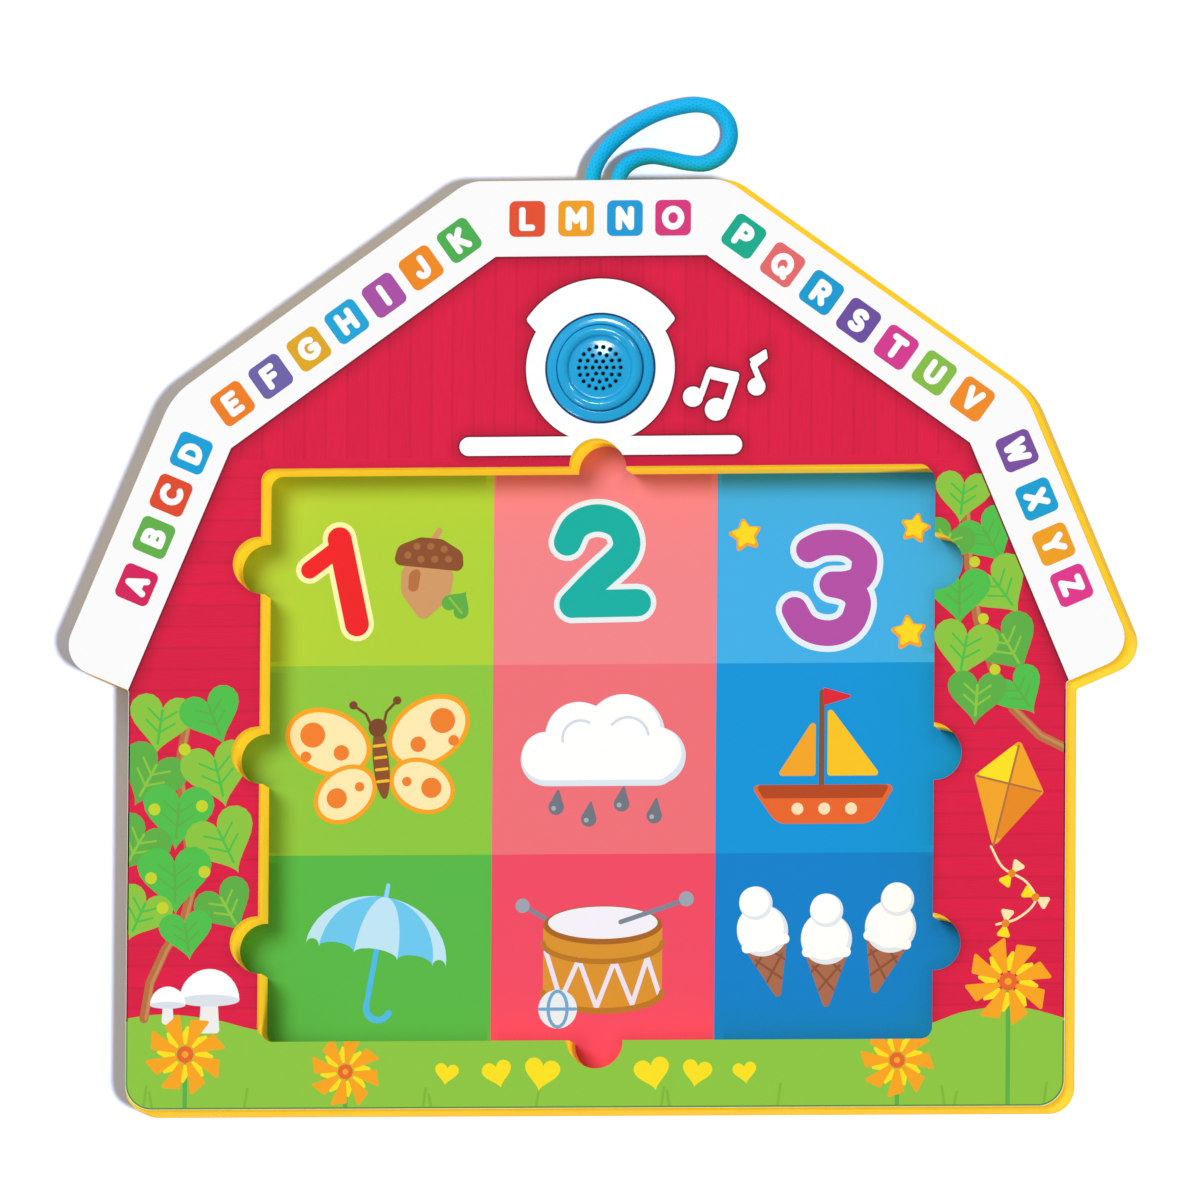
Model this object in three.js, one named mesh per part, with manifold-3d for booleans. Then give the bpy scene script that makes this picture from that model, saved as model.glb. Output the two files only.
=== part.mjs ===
// A musical puzzle board: a barn-shaped foam frame glued to a foam back, with a tray for nine
// puzzle tiles, a push-button sound module in the gable and a cord loop at the top edge.
// Millimetres. The board lies on its back: +Z is up out of the printed front, +Y points to the
// roof, and the origin is the middle of the footprint, on the surface that the board lies on.
import * as THREE from 'three';
import { mergeVertices } from 'three/addons/utils/BufferGeometryUtils.js';
import Module from 'manifold-3d';

const wasm = await Module();
wasm.setup();

// The board's outline, seen from the front.
const wallWidth = 316.2;
const boardHeight = 311.4;
const roofTopWidth = 89.6;
const kneeWidth = 288.2;
const kneeDrop = 71.1;
const eaveWidth = 363.0;
const eaveDrop = 159.8;
const roofTopRadius = 15;
const kneeRadius = 25;
const eaveRadius = 10;
const underEaveRadius = 1.5;
const footRadius = 8.7;

// The layers, from the back to the printed front, with a film of glue between them.
const backThickness = 2.6;
const sheetThickness = 0.35;
const frameThickness = 14.6;
const glueFilm = 0.05;
const seamInset = 1.2;

// The tray: three rows of three tiles, with half-round notches for the tiles' tabs. It takes the
// height between the sill below it and the head above it, which holds the sound module.
const cellColumns = 3;
const cellRows = 3;
const cellWidth = 75.1;
const sillHeight = 23.8;
const headHeight = 97.1;
const trayCornerRadius = 4;
const tabRadius = 9.0;
const tabOffset = 0.4;

// The sound module's shell, from the press cap outwards.
const moduleDrop = 63.0;
const capRadius = 14.3;
const capClearance = 0.3;
const capWall = 1.2;
const shoulderWidth = 0.9;
const shoulderHeight = 1.0;
const housingWall = 1.1;
const flangeOverlap = 1.25;
const flangeHeight = 1.0;
const flangeEdge = 0.5;
const boreClearance = 0.2;
const pressTravel = 1.5;
const stopGap = 0.1;

// The press cap's top: a raised ring round a domed grille.
const capRise = 2.0;
const ringWidth = 3.7;
const ringOuterRound = 1.1;
const ringInnerRound = 0.8;
const dishDepth = 1.5;
const grooveWidth = 0.7;
const domeRise = 0.6;
const grilleHoleRadius = 0.65;
const grilleHolePitch = 2.35;
const grilleRings = 3;
const holesPerRing = 6;

// The back cover and its screws.
const coverRecess = 0.5;
const coverOverlap = 3.7;
const coverClearance = 0.5;
const coverChamfer = 0.5;
const coverRibHeight = 0.3;
const coverRibWidth = 1.0;
const coverRibPitch = 3.0;
const coverRibLength = 15.0;
const coverRibs = 3;
const screwHeadRadius = 1.9;
const screwHeadHeight = 1.0;
const screwShaftRadius = 0.9;
const screwLength = 6.5;
const screwClearance = 0.3;
const driveLength = 2.2;
const driveWidth = 0.5;
const driveDepth = 0.55;

// The posts inside the housing that take the screws and carry the speaker.
const postRadius = 2.3;
const postBite = 0.4;
const postCount = 3;

// The cells, their holder and the contact plates.
const batteryRadius = 5.8;
const batteryHeight = 5.4;
const batteryStep = 0.6;
const batteryCapRadius = 4.6;
const batteryClearance = 0.3;
const pocketWall = 1.5;
const contactThickness = 0.2;
const contactLobeRadius = 4.6;
const discClearance = 0.3;

// The circuit board and what is on it.
const circuitThickness = 1.0;
const chipRadius = 3.0;
const chipHeight = 1.0;
const chipShares = [
  [0, 0],
  [1, 0],
  [0.83, 0.6],
  [0.5, 0.9],
  [0, 1],
];
const padRadius = 1.7;
const padThickness = 0.1;
const pillRadius = 1.1;
const pillThickness = 0.8;
const pillEndGap = 0.3;
const legDepth = 2.2;
const legWidth = 2.4;
const legClearance = 0.6;
const windowClearance = 0.4;

// The speaker, on its carrier ring.
const carrierRise = 2.6;
const carrierThickness = 1.0;
const speakerRimRadius = 10.0;
const speakerRimHeight = 1.2;
const basketRadius = 8.3;
const basketDepth = 0.6;
const basketWall = 0.5;
const magnetRadius = 4.5;
const magnetHeight = 1.5;
const coneThickness = 0.25;
const coneGap = 0.1;
const coneLip = 0.6;
const rollWidth = 1.5;
const rollHeight = 0.45;
const dustCapRadius = 3.0;
const dustCapRise = 0.5;
const wireRadius = 0.35;
const wireSpacing = 3.0;
const wireGap = 0.3;
const wireBow = 0.9;

// The return spring.
const springWireRadius = 0.3;
const springTurns = 2.5;
const springSeatGap = 0.06;

// The cord loop, its two channels in the frame and the knots in their pocket.
const cordRadius = 2.6;
const cordSpacing = 8.6;
const cordHeight = 10;
const channelClearance = 0.3;
const channelLength = 15.7;
const pocketLength = 12;
const pocketWidth = 21;
const pocketHeadroom = 5;
const knotRadius = 4.0;
const knotLength = 9.0;
const knotWraps = 3;
const knotWrapDepth = 0.45;
const knotGap = 0.3;

// The stretch of cord that lies free, from the left channel's mouth round to the right one's.
const cordRoute = [
  [-3.5, 160.6, 9.5],
  [-1.0, 165.6, 8.3],
  [3.1, 170.6, 6.4],
  [8.6, 175.2, 4.5],
  [15.2, 179.0, 3.1],
  [22.4, 181.4, 2.75],
  [30.4, 182.4, 2.7],
  [36.6, 180.6, 2.7],
  [40.4, 176.0, 2.7],
  [40.9, 170.4, 2.7],
  [38.2, 165.4, 2.7],
  [33.0, 162.7, 2.7],
  [27.2, 162.9, 2.75],
  [21.0, 164.2, 3.2],
  [15.2, 165.0, 4.7],
  [9.8, 163.6, 7.0],
  [5.9, 160.1, 9.2],
];

// How finely the round shapes are divided, and how far a cut runs past what it cuts.
const roundSides = 36;
const middleSides = 28;
const smallSides = 16;
const holeSides = 8;
const wireSides = 6;
const springSteps = 16;
const cordSides = 10;
const cordSteps = 40;
const arcSteps = 6;
const curveSteps = 3;
const weld = 0.0001;
const overrun = 1.0;

// Heights above the table.
const coverTop = backThickness;
const trayPrintZ = backThickness + glueFilm;
const frameZ = trayPrintZ + sheetThickness + glueFilm;
const frontPrintZ = frameZ + frameThickness + glueFilm;
const frontZ = frontPrintZ + sheetThickness;
const flangeTop = frontZ + flangeHeight;
const batteryZ = coverTop + contactThickness;
const circuitZ = batteryZ + batteryHeight + contactThickness;
const circuitTop = circuitZ + circuitThickness;
const carrierZ = circuitTop + carrierRise;
const carrierTop = carrierZ + carrierThickness;
const speakerTop = carrierTop + speakerRimHeight;
const shoulderTop = frontZ - stopGap;
const shoulderZ = shoulderTop - shoulderHeight;
const ringTop = flangeTop + capRise;
const grooveZ = ringTop - dishDepth;
const domeTop = grooveZ + domeRise;
const pillZ = circuitTop + padThickness + pressTravel + pillEndGap;
const legZ = pillZ + pillThickness;

// Places on the board.
const top = boardHeight / 2;
const bottom = -boardHeight / 2;
const trayWidth = cellColumns * cellWidth;
const trayBottom = bottom + sillHeight;
const trayTop = top - headHeight;
const cellHeight = (trayTop - trayBottom) / cellRows;
const moduleY = top - moduleDrop;

// Radii in the sound module, from the cap outwards.
const capInner = capRadius - capWall;
const lipRadius = capRadius + capClearance;
const shoulderRadius = capRadius + shoulderWidth;
const housingInner = shoulderRadius + capClearance;
const housingRadius = housingInner + housingWall;
const flangeRadius = housingRadius + flangeOverlap;
const boreRadius = housingRadius + boreClearance;
const coverRadius = boreRadius + coverOverlap;
const coverHoleRadius = coverRadius + coverClearance;
const discRadius = housingInner - discClearance;
const postCircle = housingInner + postBite - postRadius;
const pocketRadius = batteryRadius + batteryClearance;
const batteryCircle = discRadius - pocketWall - pocketRadius;
const legCircle = speakerRimRadius + legClearance + legDepth / 2;
const springRadius = (capInner + shoulderRadius) / 2;

// The cells sit at these angles, and the posts between them. The press leg is over one cell.
const legAngle = Math.PI / 2;
const thirdTurn = (2 * Math.PI) / postCount;
const cellAngles = Array.from({ length: postCount }, (_, i) => legAngle + i * thirdTurn);
const postAngles = cellAngles.map((angle) => angle + thirdTurn / 2);

const part = new THREE.Group();
const soundModule = new THREE.Group();
soundModule.position.set(0, moduleY, 0);
part.add(soundModule);

function finish(color, roughness, metalness = 0) {
  return new THREE.MeshStandardMaterial({ color, roughness, metalness });
}

const yellowFoam = () => finish('#f7c91c', 0.85);
const bluePlastic = () => finish('#0f9bd7', 0.35);
const steel = () => finish('#b9bcc0', 0.35, 1);

function addPiece(parent, name, geometry, material, x = 0, y = 0, z = 0) {
  const mesh = new THREE.Mesh(geometry, material);
  mesh.name = name;
  mesh.position.set(x, y, z);
  parent.add(mesh);
  return mesh;
}

// Solids, cuts and joins.

function toSolid(geometry) {
  const bare = geometry.clone();
  bare.deleteAttribute('normal');
  bare.deleteAttribute('uv');
  const merged = mergeVertices(bare, weld);
  const corners = merged.index.array;
  const kept = [];
  for (let i = 0; i < corners.length; i += 3) {
    const [a, b, c] = [corners[i], corners[i + 1], corners[i + 2]];
    if (a !== b && b !== c && c !== a) kept.push(a, b, c);
  }
  const mesh = new wasm.Mesh({
    numProp: 3,
    vertProperties: Float32Array.from(merged.getAttribute('position').array),
    triVerts: Uint32Array.from(kept),
  });
  return new wasm.Manifold(mesh);
}

function toGeometry(solid) {
  const mesh = solid.getMesh();
  const geometry = new THREE.BufferGeometry();
  geometry.setAttribute('position', new THREE.BufferAttribute(mesh.vertProperties, 3));
  geometry.setIndex(new THREE.BufferAttribute(mesh.triVerts, 1));
  const flat = geometry.toNonIndexed();
  flat.computeVertexNormals();
  return flat;
}

function combine(base, additions, cuts) {
  let solid = toSolid(base);
  for (const addition of additions) {
    solid = solid.add(toSolid(addition));
  }
  for (const cut of cuts) {
    solid = solid.subtract(toSolid(cut));
  }
  return toGeometry(solid);
}

// Outlines and the shapes made from them.

function arcPoints(centre, radius, from, sweep, steps) {
  return Array.from({ length: steps + 1 }, (_, i) => {
    const angle = from + (sweep * i) / steps;
    return new THREE.Vector2(
      centre.x + radius * Math.cos(angle),
      centre.y + radius * Math.sin(angle),
    );
  });
}

function circlePoints(x, y, radius, sides) {
  return arcPoints(new THREE.Vector2(x, y), radius, 0, 2 * Math.PI, sides).slice(0, sides);
}

// A counter-clockwise ring of corners, each rounded by its own radius.
function roundedOutline(corners) {
  const count = corners.length;
  return corners.flatMap(({ point, radius }, i) => {
    const back = corners[(i + count - 1) % count].point.clone().sub(point).normalize();
    const ahead = corners[(i + 1) % count].point.clone().sub(point).normalize();
    const half = back.angleTo(ahead) / 2;
    const start = point.clone().addScaledVector(back, radius / Math.tan(half));
    const bisector = back.clone().add(ahead).normalize();
    const centre = point.clone().addScaledVector(bisector, radius / Math.sin(half));
    const turn = Math.sign(ahead.cross(back)) * (Math.PI - 2 * half);
    return arcPoints(centre, radius, start.sub(centre).angle(), turn, arcSteps);
  });
}

// The same corners with every edge moved inwards by a distance.
function insetCorners(corners, distance) {
  const count = corners.length;
  const inward = (from, to) => new THREE.Vector2(from.y - to.y, to.x - from.x).normalize();
  return corners.map(({ point, radius }, i) => {
    const before = inward(corners[(i + count - 1) % count].point, point);
    const after = inward(point, corners[(i + 1) % count].point);
    const miter = before.clone().add(after).divideScalar(1 + before.dot(after));
    const hollow = before.cross(after) < 0;
    return {
      point: point.clone().addScaledVector(miter, distance),
      radius: hollow ? radius + distance : radius - distance,
    };
  });
}

function slab(outline, holes, thickness) {
  const shape = new THREE.Shape(outline);
  shape.holes = holes.map((hole) => new THREE.Path(hole));
  return new THREE.ExtrudeGeometry(shape, { depth: thickness, bevelEnabled: false });
}

function disc(radius, height, sides = roundSides) {
  return slab(circlePoints(0, 0, radius, sides), [], height);
}

// A solid turned about the Z axis from its profile of radius and height.
function turned(profile, sides = roundSides) {
  const points = profile.map(([radius, height]) => new THREE.Vector2(radius, height));
  return new THREE.LatheGeometry(points, sides).rotateX(Math.PI / 2);
}

// A round section swept along a curve.
function tube(curve, radius, sides, steps) {
  const section = new THREE.Shape(circlePoints(0, 0, radius, sides));
  return new THREE.ExtrudeGeometry(section, {
    steps,
    bevelEnabled: false,
    extrudePath: curve,
  });
}

function polar(radius, angle) {
  return [radius * Math.cos(angle), radius * Math.sin(angle)];
}

// The barn's outline: straight walls, eaves cut square to the steep roof, two slopes each side.
function barnCorners() {
  const knee = new THREE.Vector2(kneeWidth / 2, top - kneeDrop);
  const eave = new THREE.Vector2(eaveWidth / 2, top - eaveDrop);
  const slope = eave.clone().sub(knee);
  const underEave = new THREE.Vector2(
    wallWidth / 2,
    eave.y - ((eave.x - wallWidth / 2) * slope.x) / -slope.y,
  );
  const right = [
    { point: new THREE.Vector2(wallWidth / 2, bottom), radius: footRadius },
    { point: underEave, radius: underEaveRadius },
    { point: eave, radius: eaveRadius },
    { point: knee, radius: kneeRadius },
    { point: new THREE.Vector2(roofTopWidth / 2, top), radius: roofTopRadius },
  ];
  const left = right.map(({ point, radius }) => ({
    point: new THREE.Vector2(-point.x, point.y),
    radius,
  }));
  return [...right, ...left.reverse()];
}

// The tray's opening: a rounded rectangle, walked counter-clockwise, with a notch for each tab.
function trayOutline() {
  const points = [];
  const corner = (x, y, from) => {
    const centre = new THREE.Vector2(
      x - Math.sign(x) * trayCornerRadius,
      y < (trayBottom + trayTop) / 2 ? y + trayCornerRadius : y - trayCornerRadius,
    );
    points.push(...arcPoints(centre, trayCornerRadius, from, Math.PI / 2, arcSteps));
  };
  const notch = (x, y, outward) => {
    const centre = new THREE.Vector2(
      x + tabOffset * Math.cos(outward),
      y + tabOffset * Math.sin(outward),
    );
    const half = Math.PI / 2 + Math.asin(tabOffset / tabRadius);
    points.push(...arcPoints(centre, tabRadius, outward - half, 2 * half, 2 * arcSteps));
  };
  const rows = Array.from({ length: cellRows }, (_, i) => trayBottom + (i + 1 / 2) * cellHeight);
  corner(-trayWidth / 2, trayBottom, Math.PI);
  notch(0, trayBottom, -Math.PI / 2);
  corner(trayWidth / 2, trayBottom, -Math.PI / 2);
  rows.forEach((y) => notch(trayWidth / 2, y, 0));
  corner(trayWidth / 2, trayTop, 0);
  notch(0, trayTop, Math.PI / 2);
  corner(-trayWidth / 2, trayTop, Math.PI / 2);
  rows.reverse().forEach((y) => notch(-trayWidth / 2, y, Math.PI));
  return points;
}

// The four layers of the board.

const boardOutline = roundedOutline(barnCorners());
const seamOutline = roundedOutline(insetCorners(barnCorners(), seamInset));
const moduleBore = circlePoints(0, moduleY, boreRadius, roundSides);

function addBackBoard() {
  const coverHole = circlePoints(0, moduleY, coverHoleRadius, roundSides);
  addPiece(part, 'back_board', slab(boardOutline, [coverHole], backThickness), yellowFoam());
}

function addTrayPrint() {
  const sheet = slab(seamOutline, [moduleBore], sheetThickness);
  addPiece(part, 'tray_print', sheet, finish('#5db8d8', 0.55), 0, 0, trayPrintZ);
}

function cordChannel(x) {
  const length = channelLength + 2 * overrun;
  const channel = disc(cordRadius + channelClearance, length, smallSides);
  channel.rotateX(Math.PI / 2);
  return channel.translate(x, top + overrun, cordHeight - frameZ);
}

function knotPocket() {
  const height = cordHeight + pocketHeadroom - frameZ + overrun;
  const pocket = new THREE.BoxGeometry(pocketWidth, pocketLength, height);
  const middle = top - channelLength - pocketLength / 2;
  return pocket.translate(0, middle, height / 2 - overrun);
}

function addFoamFrame() {
  const blank = slab(boardOutline, [trayOutline(), moduleBore], frameThickness);
  const cuts = [cordChannel(-cordSpacing / 2), cordChannel(cordSpacing / 2), knotPocket()];
  addPiece(part, 'foam_frame', combine(blank, [], cuts), yellowFoam(), 0, 0, frameZ);
}

function addFrontPrint() {
  const sheet = slab(boardOutline, [trayOutline(), moduleBore], sheetThickness);
  addPiece(part, 'front_print', sheet, finish('#d21e44', 0.5), 0, 0, frontPrintZ);
}

// The sound module: housing, press cap, speaker, circuit, cells and back cover.

function addHousing() {
  const shell = turned([
    [housingInner, coverTop],
    [housingRadius, coverTop],
    [housingRadius, frontZ],
    [flangeRadius, frontZ],
    [flangeRadius, flangeTop - flangeEdge],
    [flangeRadius - flangeEdge / 3, flangeTop - flangeEdge / 3],
    [flangeRadius - flangeEdge, flangeTop],
    [lipRadius + flangeEdge / 2, flangeTop],
    [lipRadius, flangeTop - flangeEdge / 2],
    [lipRadius, frontZ],
    [housingInner, frontZ],
    [housingInner, coverTop],
  ]);
  const posts = postAngles.map((angle) =>
    disc(postRadius, carrierZ - coverTop, smallSides).translate(
      ...polar(postCircle, angle),
      coverTop,
    ),
  );
  const pilotDepth = screwLength + screwClearance + overrun;
  const pilots = postAngles.map((angle) =>
    disc(screwShaftRadius + screwClearance, pilotDepth, holeSides).translate(
      ...polar(postCircle, angle),
      coverTop - overrun,
    ),
  );
  addPiece(soundModule, 'module_housing', combine(shell, posts, pilots), bluePlastic());
}

// The cap's section, from the axis underneath, round the shoulder and back over the ring.
function capProfile() {
  const ringInner = capRadius - ringWidth;
  const grooveInner = ringInner - grooveWidth - ringInnerRound;
  const profile = new THREE.Path();
  profile.moveTo(0, domeTop - capWall);
  profile.lineTo(grooveInner, grooveZ - capWall);
  profile.lineTo(ringInner, grooveZ - capWall);
  profile.lineTo(ringInner + capWall, ringTop - capWall);
  profile.lineTo(capInner, ringTop - capWall);
  profile.lineTo(capInner, shoulderZ);
  profile.lineTo(shoulderRadius, shoulderZ);
  profile.lineTo(shoulderRadius, shoulderTop);
  profile.lineTo(capRadius, shoulderTop);
  profile.lineTo(capRadius, ringTop - ringOuterRound);
  profile.quadraticCurveTo(capRadius, ringTop, capRadius - ringOuterRound, ringTop);
  profile.lineTo(ringInner + ringInnerRound, ringTop);
  profile.quadraticCurveTo(ringInner, ringTop, ringInner, ringTop - ringInnerRound);
  profile.quadraticCurveTo(ringInner, grooveZ, ringInner - ringInnerRound, grooveZ);
  profile.lineTo(grooveInner, grooveZ);
  profile.quadraticCurveTo(grooveInner / 2, domeTop, 0, domeTop);
  return profile.getPoints(curveSteps).map(({ x, y }) => [x, y]);
}

function grilleHoles() {
  const places = [[0, 0]];
  for (let ring = 1; ring <= grilleRings; ring += 1) {
    const count = ring * holesPerRing;
    for (let i = 0; i < count; i += 1) {
      places.push(polar(ring * grilleHolePitch, (2 * Math.PI * i) / count));
    }
  }
  const depth = domeRise + capWall + 2 * overrun;
  return places.map(([x, y]) =>
    disc(grilleHoleRadius, depth, holeSides).translate(x, y, grooveZ - capWall - overrun),
  );
}

function addPressCap() {
  const legTop = ringTop - capWall / 2;
  const leg = new THREE.BoxGeometry(legWidth, legDepth, legTop - legZ);
  leg.translate(0, legCircle, (legTop + legZ) / 2);
  const cap = combine(turned(capProfile()), [leg], grilleHoles());
  addPiece(soundModule, 'button_cap', cap, bluePlastic());
  const pill = disc(pillRadius, pillThickness, smallSides);
  addPiece(soundModule, 'contact_pill', pill, finish('#202226', 0.7), 0, legCircle, pillZ);
}

class Helix extends THREE.Curve {
  constructor(radius, height, turns) {
    super();
    Object.assign(this, { radius, height, turns });
  }

  getPoint(t, target = new THREE.Vector3()) {
    const [x, y] = polar(this.radius, 2 * Math.PI * this.turns * t);
    return target.set(x, y, this.height * t);
  }
}

function addReturnSpring() {
  const seat = springWireRadius + springSeatGap;
  const height = shoulderZ - carrierTop - 2 * seat;
  const curve = new Helix(springRadius, height, springTurns);
  const coil = tube(curve, springWireRadius, wireSides, Math.round(springSteps * springTurns));
  addPiece(soundModule, 'return_spring', coil, steel(), 0, 0, carrierTop + seat);
}

function addSpeakerCarrier() {
  const hole = circlePoints(0, 0, basketRadius + discClearance, roundSides);
  const ring = slab(circlePoints(0, 0, discRadius, roundSides), [hole], carrierThickness);
  const window = new THREE.BoxGeometry(
    legWidth + 2 * windowClearance,
    legDepth + 2 * windowClearance,
    carrierThickness + 2 * overrun,
  ).translate(0, legCircle, carrierThickness / 2);
  const carrier = combine(ring, [], [window]);
  addPiece(soundModule, 'speaker_carrier', carrier, finish('#e8e8e4', 0.5), 0, 0, carrierZ);
}

function addSpeaker() {
  const basketZ = carrierTop - basketDepth;
  const ledgeZ = carrierTop + speakerRimHeight / 2;
  const ledgeRadius = speakerRimRadius - coneLip - coneGap;
  const basket = turned(
    [
      [0, basketZ],
      [basketRadius - basketDepth, basketZ],
      [basketRadius, carrierTop],
      [speakerRimRadius, carrierTop],
      [speakerRimRadius, speakerTop],
      [ledgeRadius + coneLip / 2, speakerTop],
      [ledgeRadius + coneLip / 2, ledgeZ],
      [ledgeRadius - coneLip, ledgeZ],
      [basketRadius - basketDepth - basketWall, basketZ + basketWall],
      [0, basketZ + basketWall],
    ],
    middleSides,
  );
  addPiece(soundModule, 'speaker_basket', basket, finish('#8f9296', 0.4, 1));
  const magnet = disc(magnetRadius, magnetHeight, middleSides);
  addPiece(soundModule, 'speaker_magnet', magnet, steel(), 0, 0, basketZ - magnetHeight);
  addCone(ledgeZ, ledgeRadius);
}

// The paper cone with its half-round surround and dust cap, one thin skin.
function addCone(ledgeZ, radius) {
  const rollOuter = radius - coneLip;
  const rollInner = rollOuter - rollWidth;
  const skin = new THREE.Path();
  skin.moveTo(0, dustCapRise);
  skin.quadraticCurveTo(dustCapRadius / 2, dustCapRise, dustCapRadius, 0);
  skin.lineTo(rollInner, 0);
  skin.quadraticCurveTo((rollInner + rollOuter) / 2, 2 * rollHeight, rollOuter, 0);
  skin.lineTo(radius, 0);
  const upper = skin.getPoints(curveSteps);
  const profile = [
    ...upper.map(({ x, y }) => [x, y]),
    ...upper.reverse().map(({ x, y }) => [x, y + coneThickness]),
  ];
  const cone = turned(profile, middleSides);
  addPiece(soundModule, 'speaker_cone', cone, finish('#26282b', 0.9), 0, 0, ledgeZ);
}

// Two bowed leads from the circuit board up to the underside of the speaker.
function addSpeakerWires() {
  const from = circuitTop + wireGap;
  const to = carrierTop - basketDepth - wireGap;
  const middle = (from + to) / 2;
  const out = -(magnetRadius + 2 * wireRadius + wireGap);
  [
    ['speaker_wire_red', -wireSpacing / 2, '#c8202c'],
    ['speaker_wire_black', wireSpacing / 2, '#1c1c1e'],
  ].forEach(([name, x, color]) => {
    const curve = new THREE.CatmullRomCurve3([
      new THREE.Vector3(x, out, from),
      new THREE.Vector3(x, out - wireBow, middle),
      new THREE.Vector3(x, out, to),
    ]);
    addPiece(soundModule, name, tube(curve, wireRadius, wireSides, arcSteps), finish(color, 0.5));
  });
}

function postNotches(height) {
  return postAngles.map((angle) =>
    disc(postRadius + discClearance, height + 2 * overrun, smallSides).translate(
      ...polar(postCircle, angle),
      -overrun,
    ),
  );
}

function addCircuit() {
  const circuit = combine(disc(discRadius, circuitThickness), [], postNotches(circuitThickness));
  addPiece(soundModule, 'circuit_board', circuit, finish('#1d6b3a', 0.45), 0, 0, circuitZ);
  const pad = disc(padRadius, padThickness, smallSides);
  addPiece(soundModule, 'contact_pad', pad, finish('#c9a24a', 0.3, 1), 0, legCircle, circuitTop);
  const chip = turned(
    chipShares.map(([across, up]) => [across * chipRadius, up * chipHeight]),
    smallSides,
  );
  addPiece(soundModule, 'sound_chip', chip, finish('#17181a', 0.6), 0, 0, circuitTop);
}

// A three-lobed plate: a lobe over each cell, drawn in round the posts between them.
function contactOutline() {
  const reach = postCircle * Math.sin(thirdTurn / 2);
  const along = postCircle * Math.cos(thirdTurn / 2) - batteryCircle;
  const lean = Math.atan2(reach, along);
  const waistRadius = Math.hypot(reach, along) - contactLobeRadius;
  return cellAngles.flatMap((angle, i) => {
    const lobe = new THREE.Vector2(...polar(batteryCircle, angle));
    const waist = new THREE.Vector2(...polar(postCircle, postAngles[i]));
    const inner = thirdTurn - 2 * lean;
    return [
      ...arcPoints(lobe, contactLobeRadius, angle - lean, 2 * lean, 2 * arcSteps),
      ...arcPoints(waist, waistRadius, angle + lean + Math.PI, inner, arcSteps).slice(1, -1),
    ];
  });
}

function addContacts() {
  const plate = () => slab(contactOutline(), [], contactThickness);
  addPiece(soundModule, 'contact_plate_lower', plate(), steel(), 0, 0, coverTop);
  addPiece(soundModule, 'contact_plate_upper', plate(), steel(), 0, 0, circuitZ - contactThickness);
}

function addBatteries() {
  const pockets = cellAngles.map((angle) =>
    disc(pocketRadius, batteryHeight + 2 * overrun, middleSides).translate(
      ...polar(batteryCircle, angle),
      -overrun,
    ),
  );
  const blank = disc(discRadius, batteryHeight);
  const holder = combine(blank, [], [...pockets, ...postNotches(batteryHeight)]);
  addPiece(soundModule, 'battery_holder', holder, finish('#e8e8e4', 0.5), 0, 0, batteryZ);
  cellAngles.forEach((angle, i) => {
    const [x, y] = polar(batteryCircle, angle);
    const cell = turned(
      [
        [0, 0],
        [batteryCapRadius, 0],
        [batteryCapRadius, batteryStep],
        [batteryRadius, batteryStep],
        [batteryRadius, batteryHeight],
        [0, batteryHeight],
      ],
      middleSides,
    );
    addPiece(soundModule, `button_cell_${i + 1}`, cell, steel(), x, y, batteryZ);
  });
}

// The cover closes the module from behind, sunk below the back and held by three screws.
function addBackCover() {
  const plate = turned([
    [0, coverRecess],
    [coverRadius - coverChamfer, coverRecess],
    [coverRadius, coverRecess + coverChamfer],
    [coverRadius, coverTop],
    [0, coverTop],
  ]);
  const ribs = Array.from({ length: coverRibs }, (_, i) => {
    const y = (i - (coverRibs - 1) / 2) * coverRibPitch;
    const rib = new THREE.BoxGeometry(coverRibLength, coverRibWidth, 2 * coverRibHeight);
    return rib.translate(0, y, coverRecess);
  });
  const sinkDepth = screwHeadHeight + screwClearance + overrun;
  const sinks = postAngles.map((angle) =>
    disc(screwHeadRadius + screwClearance, sinkDepth, smallSides).translate(
      ...polar(postCircle, angle),
      coverRecess - overrun,
    ),
  );
  const holes = postAngles.map((angle) =>
    disc(screwShaftRadius + screwClearance, backThickness + 2 * overrun, holeSides).translate(
      ...polar(postCircle, angle),
      -overrun,
    ),
  );
  const cover = combine(plate, ribs, [...sinks, ...holes]);
  addPiece(soundModule, 'back_cover', cover, finish('#e9e7e0', 0.5));
}

function addCoverScrews() {
  const head = turned(
    [
      [0, 0],
      [(screwHeadRadius * 3) / 4, 0],
      [screwHeadRadius, screwHeadHeight / 2],
      [screwHeadRadius, screwHeadHeight],
      [screwShaftRadius, screwHeadHeight],
      [screwShaftRadius, screwHeadHeight + screwLength - screwShaftRadius],
      [0, screwHeadHeight + screwLength],
    ],
    smallSides,
  );
  const slots = [
    new THREE.BoxGeometry(driveLength, driveWidth, 2 * driveDepth),
    new THREE.BoxGeometry(driveWidth, driveLength, 2 * driveDepth),
  ];
  const screw = combine(head, [], slots);
  postAngles.forEach((angle, i) => {
    const [x, y] = polar(postCircle, angle);
    const z = coverRecess + screwClearance;
    addPiece(soundModule, `cover_screw_${i + 1}`, screw.clone(), steel(), x, y, z);
  });
}

// The cord loop: both ends run back through the frame's top edge to knots in their pocket.

function addCordLoop() {
  const endY = top - channelLength;
  const ends = (x) => [
    new THREE.Vector3(x, endY, cordHeight),
    new THREE.Vector3(x, endY + channelLength / 2, cordHeight),
    new THREE.Vector3(x, top, cordHeight),
  ];
  const curve = new THREE.CatmullRomCurve3(
    [
      ...ends(-cordSpacing / 2),
      ...cordRoute.map((point) => new THREE.Vector3(...point)),
      ...ends(cordSpacing / 2).reverse(),
    ],
    false,
    'centripetal',
  );
  const cord = tube(curve, cordRadius, cordSides, cordSteps);
  addPiece(part, 'cord_loop', cord, finish('#14b1ee', 0.6));
}

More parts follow.
